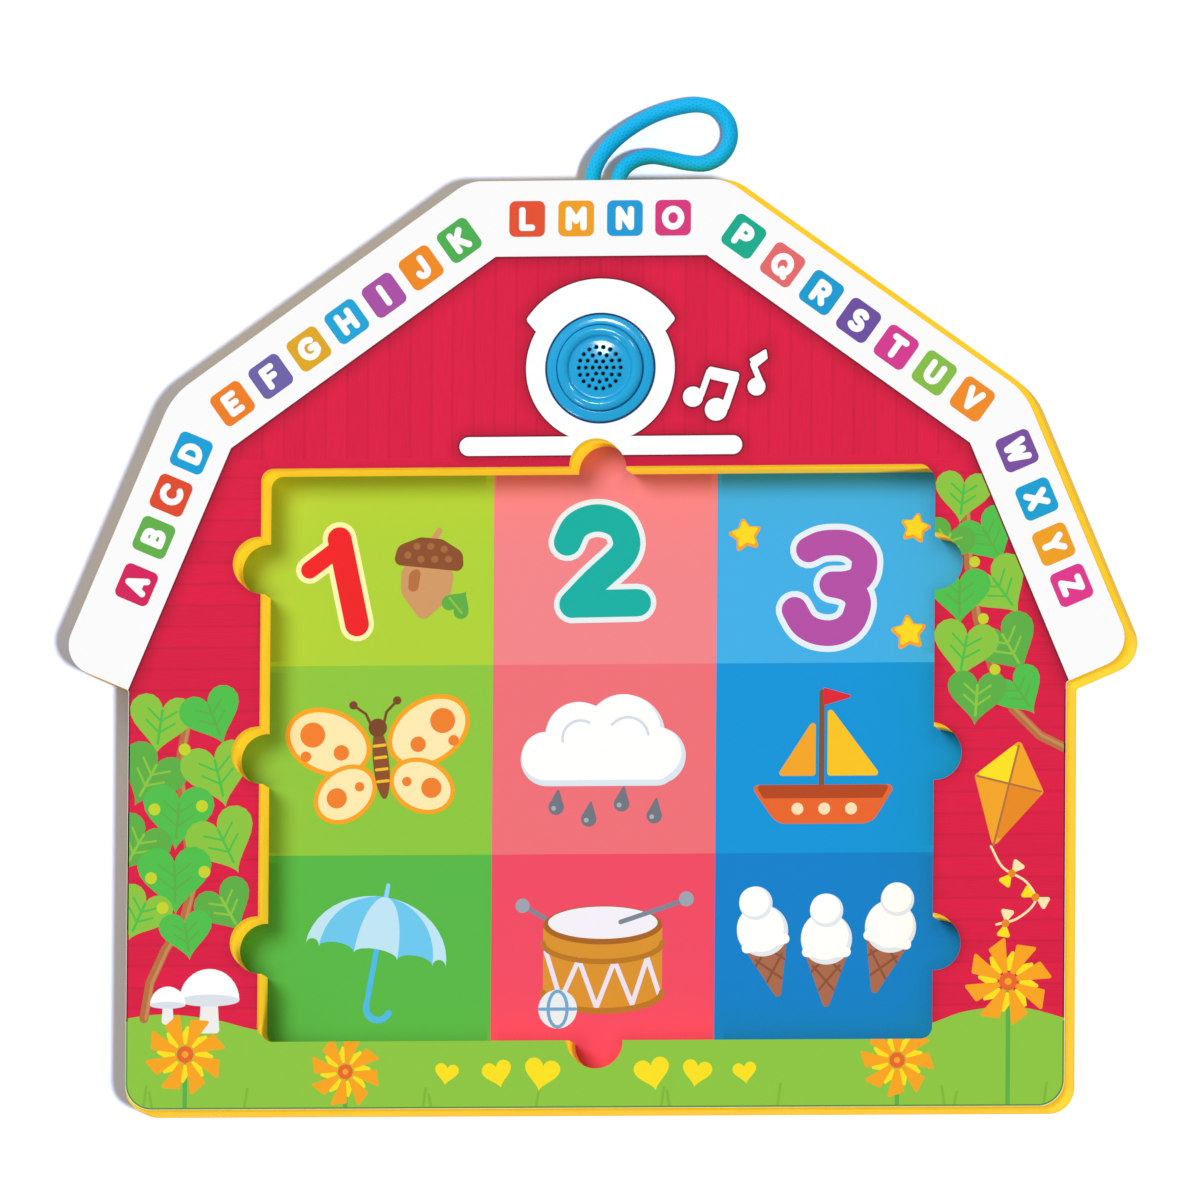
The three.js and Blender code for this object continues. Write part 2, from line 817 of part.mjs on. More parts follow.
// A stopper knot of a few wraps, drawn up against the pocket's front wall.
function addCordKnots() {
  const steps = knotWraps * curveSteps;
  const side = Array.from({ length: steps + 1 }, (_, i) => {
    const swell = Math.abs(Math.sin((Math.PI * knotWraps * i) / steps));
    return [knotRadius - knotWrapDepth * (1 - swell), (knotLength * i) / steps];
  });
  const profile = [[0, 0], ...side, [0, knotLength]];
  const knot = turned(profile, smallSides).rotateX(Math.PI / 2);
  const y = top - channelLength - knotGap;
  [
    ['cord_knot_left', -cordSpacing / 2],
    ['cord_knot_right', cordSpacing / 2],
  ].forEach(([name, x]) => {
    addPiece(part, name, knot.clone(), finish('#14b1ee', 0.7), x, y, cordHeight);
  });
}

addBackBoard();
addTrayPrint();
addFoamFrame();
addFrontPrint();
addHousing();
addPressCap();
addReturnSpring();
addSpeakerCarrier();
addSpeaker();
addSpeakerWires();
addCircuit();
addContacts();
addBatteries();
addBackCover();
addCoverScrews();
addCordLoop();
addCordKnots();

export default part;
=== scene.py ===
import math

import bmesh
import bpy
import numpy as np
from mathutils import Matrix, Quaternion, Vector
from mathutils.geometry import delaunay_2d_cdt


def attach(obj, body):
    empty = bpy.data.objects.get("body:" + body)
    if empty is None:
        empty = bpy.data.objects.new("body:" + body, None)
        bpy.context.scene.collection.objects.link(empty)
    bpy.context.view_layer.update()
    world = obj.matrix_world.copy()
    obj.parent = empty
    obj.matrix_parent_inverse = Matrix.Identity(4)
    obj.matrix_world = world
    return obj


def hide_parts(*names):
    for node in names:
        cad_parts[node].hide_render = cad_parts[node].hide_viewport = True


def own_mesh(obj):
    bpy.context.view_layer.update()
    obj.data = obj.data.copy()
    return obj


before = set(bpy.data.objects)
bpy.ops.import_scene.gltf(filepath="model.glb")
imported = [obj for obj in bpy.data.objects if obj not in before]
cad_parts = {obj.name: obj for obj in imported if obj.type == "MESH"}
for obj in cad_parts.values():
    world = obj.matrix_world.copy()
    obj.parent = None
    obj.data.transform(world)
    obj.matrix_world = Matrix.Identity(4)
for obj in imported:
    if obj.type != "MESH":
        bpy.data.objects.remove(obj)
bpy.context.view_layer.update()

for leftover in ("Cube", "Light", "Camera"):
    if leftover in bpy.data.objects:
        bpy.data.objects.remove(bpy.data.objects[leftover])

# The view: the board lies on its back and is seen from above, a little from the right and
# from the foot, so that its right and lower side walls show. The picture's turn is split evenly
# between the board's two directions.
MM = 0.001
looked_at = Vector((0.4, 15.1, 18.05)) * MM
toward_camera = Vector((0.14, -0.10, 1)).normalized()
camera_distance = 10.0
view_width = 399.3 * MM
sensor = 36
eighth_turn = math.radians(45)
across = Vector((1, 0, 0))
upward = Vector((0, 1, 0))
across_seen = (across - toward_camera * across.dot(toward_camera)).normalized()
upward_seen = (upward - toward_camera * upward.dot(toward_camera)).normalized()
diagonal = (across_seen + upward_seen).normalized()
picture_right = Quaternion(toward_camera, -eighth_turn) @ diagonal
picture_up = Quaternion(toward_camera, eighth_turn) @ diagonal
turn = Matrix((picture_right, picture_up, toward_camera)).transposed().to_4x4()
camera_data = bpy.data.cameras.new("camera")
camera_data.sensor_width = sensor
camera_data.lens = sensor * camera_distance / view_width
camera = bpy.data.objects.new("camera", camera_data)
camera.matrix_world = Matrix.Translation(looked_at + toward_camera * camera_distance) @ turn
bpy.context.scene.collection.objects.link(camera)
bpy.context.scene.camera = camera
bpy.context.scene.view_settings.view_transform = "Standard"


# The table: a wide top, sprayed with matt white lacquer, that the board lies on. It takes the
# board's soft shadow and otherwise shows as white.
def from_hex(code):
    """A linear colour from an sRGB hex one."""
    shares = [int(code[i:i + 2], 16) / 255 for i in (1, 3, 5)]
    return [c / 12.92 if c <= 0.04045 else ((c + 0.055) / 1.055) ** 2.4 for c in shares] + [1.0]


def add(tree, kind, inputs=None, into=None, **settings):
    """Adds a node with its settings. Its inputs take plain values, sockets, or nodes, which give
    their first output in use. Its own first output in use goes into a socket, if one is named."""
    def given_by(node):
        return next(output for output in node.outputs if output.enabled)
    made = tree.nodes.new("ShaderNode" + kind)
    for name, value in settings.items():
        setattr(made, name, value)
    for socket, value in (inputs or {}).items():
        if isinstance(value, (bpy.types.Node, bpy.types.NodeSocket)):
            source = given_by(value) if isinstance(value, bpy.types.Node) else value
            tree.links.new(source, made.inputs[socket])
        else:
            made.inputs[socket].default_value = value
    if into:
        tree.links.new(given_by(made), into)
    return made


def start_material(name, colour, roughness, ior=1.5, metallic=0.0, gloss=0.5):
    """A new material, its node tree, its shader and a node that gives the place on the object
    in millimetres."""
    material = bpy.data.materials.new(name)
    material.use_nodes = True
    tree = material.node_tree
    shader = tree.nodes["Principled BSDF"]
    shader.inputs["Base Color"].default_value = from_hex(colour)
    shader.inputs["Roughness"].default_value = roughness
    shader.inputs["Metallic"].default_value = metallic
    shader.inputs["IOR"].default_value = ior
    shader.inputs["Specular IOR Level"].default_value = gloss
    place = add(tree, "TexCoord").outputs["Object"]
    in_mm = add(tree, "VectorMath", {0: place, "Scale": 1 / MM}, operation="SCALE")
    return material, tree, shader, in_mm


table_size = 6.0
table_drop = 0.2 * MM
corners = [(x * table_size, y * table_size, -table_drop) for x, y in
           ((-1, -1), (1, -1), (1, 1), (-1, 1))]
table_mesh = bpy.data.meshes.new("table")
table_mesh.from_pydata(corners, [], [range(4)])
table = bpy.data.objects.new("table", table_mesh)
bpy.context.scene.collection.objects.link(table)
# Matt lacquer, sprayed: a faint mottle, no gloss.
lacquer, tree, shader, place = start_material("matt_white_lacquer", "#E7E7E7", roughness=0.9, gloss=0.1)
mottle = add(tree, "TexNoise", {"Vector": place, "Scale": 1 / 40, "Detail": 3})
add(tree, "Bump", {"Height": mottle, "Distance": 0.05 * MM}, shader.inputs["Normal"])
# It sends less light back to the board's walls than it shows, so that they don't wash out. Sockets
# 6 and 7 of a Mix node are its two colours.
camera_ray = add(tree, "LightPath").outputs["Is Camera Ray"]
add(tree, "Mix", {0: camera_ray, 6: from_hex("#A2A2A2"), 7: from_hex("#D1DBF9")},
    shader.inputs["Base Color"], data_type="RGBA")
table_mesh.materials.append(lacquer)

# The light: an even white room, a soft lamp from the upper left for the printed faces, one from
# each side for the foam's walls, and one from the right that throws the board's shadow on the
# table. The button has a lamp of its own for its tone and three small ones for its highlights.
room_light = 0.5
world = bpy.data.worlds.new("room")
bpy.context.scene.world = world
world.use_nodes = True
background = world.node_tree.nodes["Background"]
background.inputs["Color"].default_value = (1, 1, 1, 1)
rays = add(world.node_tree, "LightPath").outputs
seen = add(world.node_tree, "Math",
           {0: rays["Is Camera Ray"], 1: rays["Is Glossy Ray"]}, operation="MAXIMUM")
seen = add(world.node_tree, "Math", {0: seen, 1: rays["Is Transmission Ray"]}, operation="MAXIMUM")
add(world.node_tree, "MapRange",
    {"Value": seen, "To Min": room_light, "To Max": 1.0}, background.inputs["Strength"])
lit_sets = {name: bpy.data.collections.new("lit_" + name) for name in
            ("board", "foam", "button", "table")}
lit_sets["table"].objects.link(table)


def hang_lamp(name, direction, level, softness, receivers, tone=True, shine=True):
    """A far lamp in that direction, which lights a face square to it by level. It can be kept
    out of the surfaces' tone or out of their reflections."""
    lamp = bpy.data.lights.new(name, "SUN")
    lamp.energy = level * math.pi
    lamp.angle = math.radians(softness)
    hung = bpy.data.objects.new(name, lamp)
    hung.rotation_euler = Vector(direction).to_track_quat("Z", "Y").to_euler()
    bpy.context.scene.collection.objects.link(hung)
    hung.light_linking.receiver_collection = lit_sets[receivers]
    hung.visible_diffuse = tone
    hung.visible_glossy = shine


key_direction = (-0.42, 0.36, 1)
hang_lamp("key_lamp", key_direction, level=0.56, softness=26, receivers="board")
hang_lamp("button_key_lamp", key_direction, level=0.5, softness=26, receivers="button", shine=False)
for name, direction, softness in (("button_window", (-0.107, 0.328, 1), 8),
                                  ("button_softbox_right", (0.75, 0.85, 1), 11),
                                  ("button_softbox_left", (-0.9, -0.95, 1), 11)):
    hang_lamp(name, direction, level=0.35, softness=softness, receivers="button", tone=False)
hang_lamp("wall_lamp", (1, -0.9, 0.7), level=0.86, softness=20, receivers="foam")
hang_lamp("far_wall_lamp", (-0.8, 1, 0.5), level=0.65, softness=20, receivers="foam")
hang_lamp("table_lamp", (0.42, -0.19, 1), level=1.32, softness=6.5, receivers="table")


def show(piece, finish, lamps):
    """Gives a piece its material, and puts it into the scene and into the light of those lamps."""
    piece.data.materials.append(finish)
    bpy.context.scene.collection.objects.link(piece)
    lit_sets[lamps].objects.link(piece)


# The cord loop: round braided polyester cord, 5.2 mm thick. Both ends run back through the foam's
# top edge and are knotted inside. The loop flops over to the right and lies on the table.
cord_radius = 2.6
cord_half_gap = 4.3
cord_height = 10
board_top = 155.7
channel_length = 15.7
cord_route = [
    (-3.5, 160.6, 9.5), (-1.0, 165.6, 8.3), (3.1, 170.6, 6.4), (8.6, 175.2, 4.5),
    (15.2, 179.0, 3.1), (22.4, 181.4, 2.75), (30.4, 182.4, 2.7), (36.6, 180.6, 2.7),
    (40.4, 176.0, 2.7), (40.9, 170.4, 2.7), (38.2, 165.4, 2.7), (33.0, 162.7, 2.7),
    (27.2, 162.9, 2.75), (21.0, 164.2, 3.2), (15.2, 165.0, 4.7), (9.8, 163.6, 7.0),
    (5.9, 160.1, 9.2),
]


def cord_end(side):
    """The straight stretch in one channel, from the knot to the board's edge."""
    depths = (channel_length, channel_length / 2, 0)
    return [(side * cord_half_gap, board_top - depth, cord_height) for depth in depths]


def smooth_route(points, steps):
    """A centripetal spline through the points, with that many steps between two of them."""
    points = [Vector(p) for p in points]
    points = [2 * points[0] - points[1]] + points + [2 * points[-1] - points[-2]]
    route = []
    for p0, p1, p2, p3 in zip(points, points[1:], points[2:], points[3:]):
        t1 = math.sqrt((p1 - p0).length)
        t2 = t1 + math.sqrt((p2 - p1).length)
        t3 = t2 + math.sqrt((p3 - p2).length)
        for k in range(steps):
            t = t1 + (t2 - t1) * k / steps
            a1 = p0.lerp(p1, t / t1)
            a2 = p1.lerp(p2, (t - t1) / (t2 - t1))
            a3 = p2.lerp(p3, (t - t2) / (t3 - t2))
            route.append(a1.lerp(a2, t / t2).lerp(a2.lerp(a3, (t - t1) / (t3 - t1)), (t - t1) / (t2 - t1)))
    return route + [points[-2]]


def even_route(points, spacing):
    """The same route with points at an even spacing."""
    places = np.array([tuple(p) for p in points])
    run = np.concatenate([[0], np.cumsum(np.linalg.norm(np.diff(places, axis=0), axis=1))])
    marks = np.linspace(0, run[-1], max(2, int(run[-1] / spacing) + 1))
    return [Vector([np.interp(m, run, places[:, i]) for i in range(3)]) for m in marks]


def round_tube(name, route, radius, sides, strands=1, pitch=1.0, relief=0.0):
    """A closed tube in mm along a route, with the over-and-under relief of a round braid if any."""
    made = bmesh.new()
    lay = made.verts.layers.float_vector.new("lay")
    tangents = [(b - a).normalized() for a, b in zip(route[:1] + route, route[1:] + route[-1:])]
    tangents[0] = (route[1] - route[0]).normalized()
    side = tangents[0].orthogonal().normalized()
    rings = []
    run = 0.0
    for i, (here, along) in enumerate(zip(route, tangents)):
        run += (here - route[i - 1]).length if i else 0
        side = (side - along * side.dot(along)).normalized()
        other = along.cross(side)
        ring = []
        for k in range(sides):
            angle = 2 * math.pi * k / sides
            left_lay = strands * angle / (2 * math.pi) + run / pitch
            right_lay = strands * angle / (2 * math.pi) - run / pitch
            left_over = (math.floor(left_lay) + math.floor(right_lay)) % 2
            swell = math.sin(math.pi * ((left_lay if left_over else right_lay) % 1))
            out = radius - relief * (1 - swell)
            vert = made.verts.new((here + (side * math.cos(angle) + other * math.sin(angle)) * out) * MM)
            vert[lay] = Vector((math.cos(angle), math.sin(angle), run))
            ring.append(vert)
        rings.append(ring)
    for a, b in zip(rings, rings[1:]):
        for k in range(sides):
            made.faces.new((a[k], a[(k + 1) % sides], b[(k + 1) % sides], b[k]))
    made.faces.new(list(reversed(rings[0])))
    made.faces.new(rings[-1])
    mesh = bpy.data.meshes.new(name)
    made.to_mesh(mesh)
    made.free()
    mesh.shade_smooth()
    return bpy.data.objects.new(name, mesh)


cord_ring_spacing = 0.5
cord_strands = 12
cord_pitch = 2.6
cord_path = even_route(smooth_route(cord_end(-1) + cord_route + cord_end(1)[::-1], steps=12),
                       cord_ring_spacing)
cord = round_tube("cord_loop_braid", cord_path, cord_radius, sides=72, strands=cord_strands,
                  pitch=cord_pitch, relief=0.05)
# Braided polyester: dyed filament yarn with a soft sheen. Its colour is painted lighter on each
# strand's crest and darker in the lines between strands, as painted shade.
yarn, tree, shader, place = start_material("braided_polyester", "#17A9E6", roughness=0.6,
                                            ior=1.54, gloss=0.15)
shader.inputs["Sheen Weight"].default_value = 0.08
shader.inputs["Sheen Roughness"].default_value = 0.4
lay = add(tree, "Attribute", attribute_name="lay").outputs["Vector"]
lay = add(tree, "SeparateXYZ", {0: lay}).outputs
round_share = add(tree, "Math", {0: lay["Y"], 1: lay["X"]}, operation="ARCTAN2")
round_share = add(tree, "Math", {0: round_share, 1: cord_strands / 2}, operation="MULTIPLY")
weave = []
for hand in (1, -1):
    turned = add(tree, "Math",
                 {0: lay["Z"], 1: hand * math.pi / cord_pitch, 2: round_share},
                 operation="MULTIPLY_ADD")
    wave = add(tree, "Math", {0: turned}, operation="SINE")
    weave.append(add(tree, "Math", {0: wave}, operation="ABSOLUTE"))
painted_crest_light = add(tree, "Math", {0: weave[0], 1: weave[1]}, operation="MAXIMUM")
# Single filaments are 0.02 mm thick, and are drawn 0.15 mm wide so that they show.
filament = add(tree, "TexNoise", {"Vector": place, "Scale": 1 / 0.15, "Detail": 2})
# Painted shade: the colour darkens towards the lines between strands and lightens on their crests.
tone = add(tree, "MapRange", {"Value": painted_crest_light, "From Min": 0.25, "From Max": 0.9})
add(tree, "Mix", {0: tone, 6: from_hex("#009ED6"), 7: from_hex("#00BAF4")},
    shader.inputs["Base Color"], data_type="RGBA")
add(tree, "Bump", {"Height": filament, "Distance": 0.04 * MM}, shader.inputs["Normal"])
show(cord, yarn, "board")
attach(cord, "board")
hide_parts("cord_loop")

# The stopper knots: each end of the cord is wrapped three times round itself and pulled tight,
# so that it can't slip back through its channel.
knot_radius = 4.0
knot_length = 9.0
knot_wraps = 3
knot_steps = 60
wrap_radius = 1.45
turns = [2 * math.pi * knot_wraps * k / knot_steps for k in range(knot_steps + 1)]
reach = knot_radius - wrap_radius
for side, label in ((-1, "left"), (1, "right")):
    knot_path = [Vector((side * cord_half_gap + reach * math.cos(t),
                         board_top - channel_length - wrap_radius
                         - (knot_length - 2 * wrap_radius) * t / turns[-1],
                         cord_height + reach * math.sin(t))) for t in turns]
    knot = round_tube("cord_knot_" + label + "_wraps", knot_path, wrap_radius, sides=24,
                      strands=cord_strands, pitch=cord_pitch, relief=0.1)
    show(knot, yarn, "board")
    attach(knot, "board")
    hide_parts("cord_knot_" + label)


# The back board: a 2.6 mm sheet of closed-cell EVA foam, die-cut to the barn's outline, with a
# round hole for the sound module's cover. It is glued to the frame and closes the tray.
def rounded(corners, step=3.0):
    """A closed outline from (x, y, radius) corners, each corner turned into an arc."""
    outline = []
    for i, (x, y, radius) in enumerate(corners):
        here = Vector((x, y))
        if not radius:
            outline.append(here)
            continue
        back = (Vector(corners[i - 1][:2]) - here).normalized()
        ahead = (Vector(corners[(i + 1) % len(corners)][:2]) - here).normalized()
        half = back.angle(ahead) / 2
        centre = here + (back + ahead).normalized() * radius / math.sin(half)
        arm = here + back * radius / math.tan(half) - centre
        sweep = math.copysign(math.pi - 2 * half, ahead.cross(back))
        pieces = max(2, math.ceil(math.degrees(abs(sweep)) / step))
        for k in range(pieces + 1):
            outline.append(centre + Matrix.Rotation(sweep * k / pieces, 2) @ arm)
    return outline


def oval(x, y, rx, ry=None, tilt=0.0, points=48):
    """A closed ellipse, its long way turned by tilt in degrees."""
    ry = rx if ry is None else ry
    lean = Matrix.Rotation(math.radians(tilt), 2)
    angles = [2 * math.pi * k / points for k in range(points)]
    return [Vector((x, y)) + lean @ Vector((rx * math.cos(a), ry * math.sin(a))) for a in angles]


def slab(name, shapes, bottom, top, within=(), cut=(), extra=(), shade=None):
    """A flat closed piece from overlapping (outline, colour) shapes, the last one on top.
    It keeps what lies within some outlines and outside others, and shade gives the light share
    of each point. All lengths are in mm."""
    loops = [outline for outline, _ in shapes] + list(within) + list(cut)
    plane, faces = [], []
    for loop in loops:
        area = sum(a.cross(b) for a, b in zip(loop, loop[1:] + loop[:1]))
        faces.append(list(range(len(plane), len(plane) + len(loop))))
        plane += loop if area > 0 else loop[::-1]
    plane += [Vector(p) for p in extra]
    inside_only = 1
    tolerance = 1e-4
    verts, _, triangles, _, _, origins = delaunay_2d_cdt(plane, [], faces, inside_only, tolerance)
    needed = set(range(len(shapes), len(shapes) + len(within)))
    barred = set(range(len(shapes) + len(within), len(loops)))
    kept, inks = [], []
    for triangle, origin in zip(triangles, origins):
        origin = set(origin)
        inked = [i for i in origin if i < len(shapes)]
        if inked and needed <= origin and not barred & origin:
            kept.append(triangle)
            inks.append(max(inked))
    used = sorted({i for triangle in kept for i in triangle})
    number = {old: new for new, old in enumerate(used)}
    kept = [tuple(number[i] for i in triangle) for triangle in kept]
    count = len(used)
    flat = [verts[i] for i in used]
    edges = {}
    for triangle, ink in zip(kept, inks):
        for a, b in zip(triangle, triangle[1:] + triangle[:1]):
            edges[(a, b)] = ink
    rims = [(a, b, ink) for (a, b), ink in edges.items() if (b, a) not in edges]
    polygons = [tuple(i + count for i in triangle) for triangle in kept]
    polygons += [triangle[::-1] for triangle in kept]
    polygons += [(a, b, b + count, a + count) for a, b, _ in rims]
    face_inks = inks + inks + [ink for _, _, ink in rims]
    mesh = bpy.data.meshes.new(name)
    mesh.from_pydata([(p.x * MM, p.y * MM, z * MM) for z in (bottom, top) for p in flat], [],
                     polygons)
    palette = np.array([from_hex(colour)[:3] for _, colour in shapes])
    owners = np.repeat(face_inks, [len(p) for p in polygons])
    corners = np.array([i % count for p in polygons for i in p])
    light = shade(np.array([tuple(p) for p in flat])) if shade else np.ones(count)
    paint = np.ones((len(corners), 4), np.float32)
    paint[:, :3] = palette[owners] * light[corners][:, None]
    mesh.color_attributes.new("ink", "FLOAT_COLOR", "CORNER").data.foreach_set("color", paint.ravel())
    return bpy.data.objects.new(name, mesh)


wall_half = 158.1
board_foot = -155.7
board_corners = [
    (wall_half, board_foot, 8.7), (wall_half, -14.05, 1.5), (181.5, -4.1, 10), (144.1, 84.6, 25),
    (44.8, board_top, 15),
]
board_corners += [(-x, y, radius) for x, y, radius in board_corners[::-1]]
board_outline = rounded(board_corners)
module_y = 92.7
module_hole = 16.8
cover_hole_radius = 21.0
cover_hole = oval(0, module_y, cover_hole_radius, points=128)
foam_colour = "#F7C51C"
board_z = (0, 2.6)
back_board = slab("back_board_foam", [(board_outline, foam_colour)], *board_z, cut=[cover_hole])


def round_edges(piece, width, segments=3):
    """A small rounding along the sharp edges, as pressing or cutting leaves."""
    sharp = math.radians(35)
    edge = piece.modifiers.new("rounded_edge", "BEVEL")
    edge.width = width * MM
    edge.segments = segments
    edge.limit_method = "ANGLE"
    edge.angle_limit = sharp
    edge.harden_normals = True
    piece.data.shade_smooth()
    piece.data.set_sharp_from_angle(angle=sharp)


# EVA foam, die-cut: a matt skin full of 0.2 mm cells, drawn 0.35 mm wide so that they show,
# with painted shade in each cell's pit, a slow waver in the colour and faint upright streaks that
# the blade leaves on cut walls.
foam, tree, shader, place = start_material("die_cut_eva_foam", foam_colour, roughness=0.78,
                                            ior=1.48, gloss=0.15)
shader.inputs["Sheen Weight"].default_value = 0.03
cells = add(tree, "TexVoronoi", {"Vector": place, "Scale": 1 / 0.35})
slow = add(tree, "TexNoise", {"Vector": place, "Scale": 1 / 9, "Detail": 3})
tint = add(tree, "Mix", {0: slow, 6: from_hex("#F2BB14"), 7: from_hex("#FBCB24")}, data_type="RGBA")
# Painted shade: each cell's middle is darkened, as if shade lay in its pit.
pore_shade = add(tree, "MapRange", {"Value": cells.outputs["Distance"], "From Max": 0.35, "To Min": 0.93})
add(tree, "VectorMath", {0: tint, "Scale": pore_shade}, shader.inputs["Base Color"], operation="SCALE")
streak_width = 0.6
streak_length = 12
upright = add(tree, "VectorMath",
              {0: place, 1: (1 / streak_width, 1 / streak_width, 1 / streak_length)},
              operation="MULTIPLY")
streak_share = 0.6
streaks = add(tree, "TexNoise", {"Vector": upright, "Detail": 2})
relief = add(tree, "Math", {0: streaks, 1: streak_share, 2: cells.outputs["Distance"]},
             operation="MULTIPLY_ADD")
add(tree, "Bump", {"Height": relief, "Distance": 0.05 * MM}, shader.inputs["Normal"])
round_edges(back_board, width=0.25)
show(back_board, foam, "foam")
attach(back_board, "board")
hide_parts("back_board")

# The tray's printed floor: a film printed with three columns of plain coloured cells, each lighter
# at the top and deeper at the foot, glued over the whole back board. The colours run on into the
# tab notches.
tray_left, tray_right = -112.65, 112.65
tray_low, tray_high = -131.9, 58.6
tray_radius = 4.0
column_width = (tray_right - tray_left) / 3
row_height = (tray_high - tray_low) / 3
notch_radius = 9.0
notch_out = 0.4
run_out = 14.0
# The film ends about 1.2 mm inside the foam's edge.
film_share = 0.9925
cell_colours = [
    ("#AFD436", "#8DC83E", "#55B845"),
    ("#F2858A", "#F07078", "#F04A64"),
    ("#3FB0EA", "#0495DA", "#0480CC"),
]


def block(left, low, right, high, radius=0.0):
    """A rectangle with rounded corners."""
    return rounded([(left, low, radius), (right, low, radius), (right, high, radius),
                    (left, high, radius)], step=6)


middle_rows = [tray_low + row_height * (k + 0.5) for k in range(3)]
notch_places = [(side * (tray_right + notch_out), y) for side in (-1, 1) for y in middle_rows]
notch_places += [(0, tray_low - notch_out), (0, tray_high + notch_out)]
tray_shapes = [block(tray_left, tray_low, tray_right, tray_high, tray_radius)]
tray_shapes += [oval(x, y, notch_radius, points=64) for x, y in notch_places]
film_corners = [(x * film_share, y * film_share, radius) for x, y, radius in board_corners]
floor_shapes = [(rounded(film_corners), "#F4F4F0")]
for column, colours in enumerate(cell_colours):
    for row, colour in enumerate(colours):
        left = tray_left + column_width * column - (run_out if column == 0 else 0)
        right = tray_left + column_width * (column + 1) + (run_out if column == 2 else 0)
        high = tray_high - row_height * row + (run_out if row == 0 else 0)
        low = tray_high - row_height * (row + 1) - (run_out if row == 2 else 0)
        floor_shapes.append((block(left, low, right, high), colour))
floor_z = (2.65, 3.0)
# It keeps a division from failing where two points fall together.
tiny = 1e-9


def along_outline(outline, spacing, closed=True):
    """Places at an even spacing along an outline, and the direction at each."""
    look_ahead = 0.1
    loop = list(outline) + ([outline[0]] if closed else [])
    corners = np.array([tuple(p) for p in loop])
    run = np.concatenate([[0], np.cumsum(np.linalg.norm(np.diff(corners, axis=0), axis=1))])
    marks = np.arange(0, run[-1], spacing)
    here = np.stack([np.interp(marks, run, corners[:, i]) for i in range(2)], axis=1)
    ahead = np.stack([np.interp(marks + look_ahead, run, corners[:, i]) for i in range(2)], axis=1)
    length = np.linalg.norm(ahead - here, axis=1, keepdims=True)
    return here, (ahead - here) / np.maximum(length, tiny)


def distance(points, outline, closed=True):
    """Each point's distance in mm to an outline."""
    corners = np.array([tuple(p) for p in outline])
    starts = corners if closed else corners[:-1]
    ends = np.roll(corners, -1, axis=0) if closed else corners[1:]
    nearest = np.full(len(points), np.inf)
    for a, b in zip(starts, ends):
        along = b - a
        reach = max(along @ along, tiny)
        t = np.clip(((points - a) @ along) / reach, 0, 1)
        nearest = np.minimum(nearest, np.linalg.norm(points - a - t[:, None] * along, axis=1))
    return nearest


def beside(outline, gaps, spacing=2.0, closed=True):
    """Points in rows on both sides of an outline, which carry the shade that is painted into the print's
    colour. A point that comes nearer to another stretch of the outline than its row does is left out."""
    nearest_share = 0.95
    here, along = along_outline(outline, spacing, closed)
    square = np.stack([-along[:, 1], along[:, 0]], axis=1)
    rows = []
    for gap in gaps:
        for hand in (-1, 1):
            moved = here + square * gap * hand
            rows.append(moved[distance(moved, outline, closed) > gap * nearest_share])
    return np.concatenate(rows)


# The print's colour is painted darker close to the walls, as painted shade: the tray's edge is
# what the block and the notches leave free of each other.
rim_spacing = 0.5
tray_rim = np.concatenate([along_outline(outline, rim_spacing)[0] for outline in tray_shapes])
slack = 0.02
in_block = ((abs(tray_rim[:, 0]) < tray_right - slack) & (tray_rim[:, 1] > tray_low + slack)
            & (tray_rim[:, 1] < tray_high - slack))
to_notch = np.min([np.linalg.norm(tray_rim - place, axis=1) for place in notch_places], axis=0)
tray_rim = tray_rim[~in_block & (to_notch > notch_radius - slack)]
floor_shade = 0.26
floor_reach = 7.0
floor_gaps = (1.2, 2.4, 4.4, 7.2)
shade_falloff = 1.6


def floor_light(points):
    """The light share of the tray's printed floor: less beside the walls."""
    gap = np.array([np.linalg.norm(tray_rim - p, axis=1).min() for p in points])
    return 1 - floor_shade * np.clip(1 - gap / floor_reach, 0, 1) ** shade_falloff


floor_points = np.concatenate([beside(outline, floor_gaps, spacing=4.0) for outline in tray_shapes])
tray_floor = slab("tray_floor_print", floor_shapes, *floor_z,
                  cut=[oval(0, module_y, module_hole, points=96)], extra=floor_points,
                  shade=floor_light)


def start_print(name):
    """A printed satin film whose colour is the piece's own ink, with a faint press grain."""
    waver = 0.015
    material, tree, shader, place = start_material(name, "#FFFFFF", roughness=0.42, gloss=0.07)
    ink = add(tree, "Attribute", attribute_name="ink").outputs["Color"]
    # Press grain is 0.1 mm wide, and is drawn 0.3 mm wide so that it shows.
    grain = add(tree, "TexNoise", {"Vector": place, "Scale": 1 / 0.3, "Detail": 2})
    tone = add(tree, "MapRange",
               {"Value": grain, "From Min": 0.3, "From Max": 0.7,
                "To Min": 1 - waver, "To Max": 1 + waver})
    inked = add(tree, "VectorMath", {0: ink, "Scale": tone},
                shader.inputs["Base Color"], operation="SCALE")
    peel = add(tree, "TexNoise", {"Vector": place, "Scale": 1 / 2.5, "Detail": 2})
    add(tree, "Bump", {"Height": peel, "Distance": 0.02 * MM}, shader.inputs["Normal"])
    return material, tree, shader, place, inked


# Offset print under a satin film: even, saturated ink with a soft shine.
satin_print = start_print("satin_laminated_print")[0]
show(tray_floor, satin_print, "board")
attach(tray_floor, "board")
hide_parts("tray_print")

# The frame: 14.6 mm of the same foam, die-cut with the tray, its eight half-round notches and the
# sound module's bore, with two channels and a pocket for the cord's ends cut in from the top edge.
frame_z = (3.05, 17.65)
bore = oval(0, module_y, module_hole, points=96)
foam_frame = slab("foam_frame_cut", [(board_outline, foam_colour)], *frame_z,
                  cut=tray_shapes + [bore])
channel_radius = 2.9
pocket_half = 10.5
pocket_length = 12
pocket_top = 15
# A tool that cuts through a face stands out of it by this much.
overshoot = 1


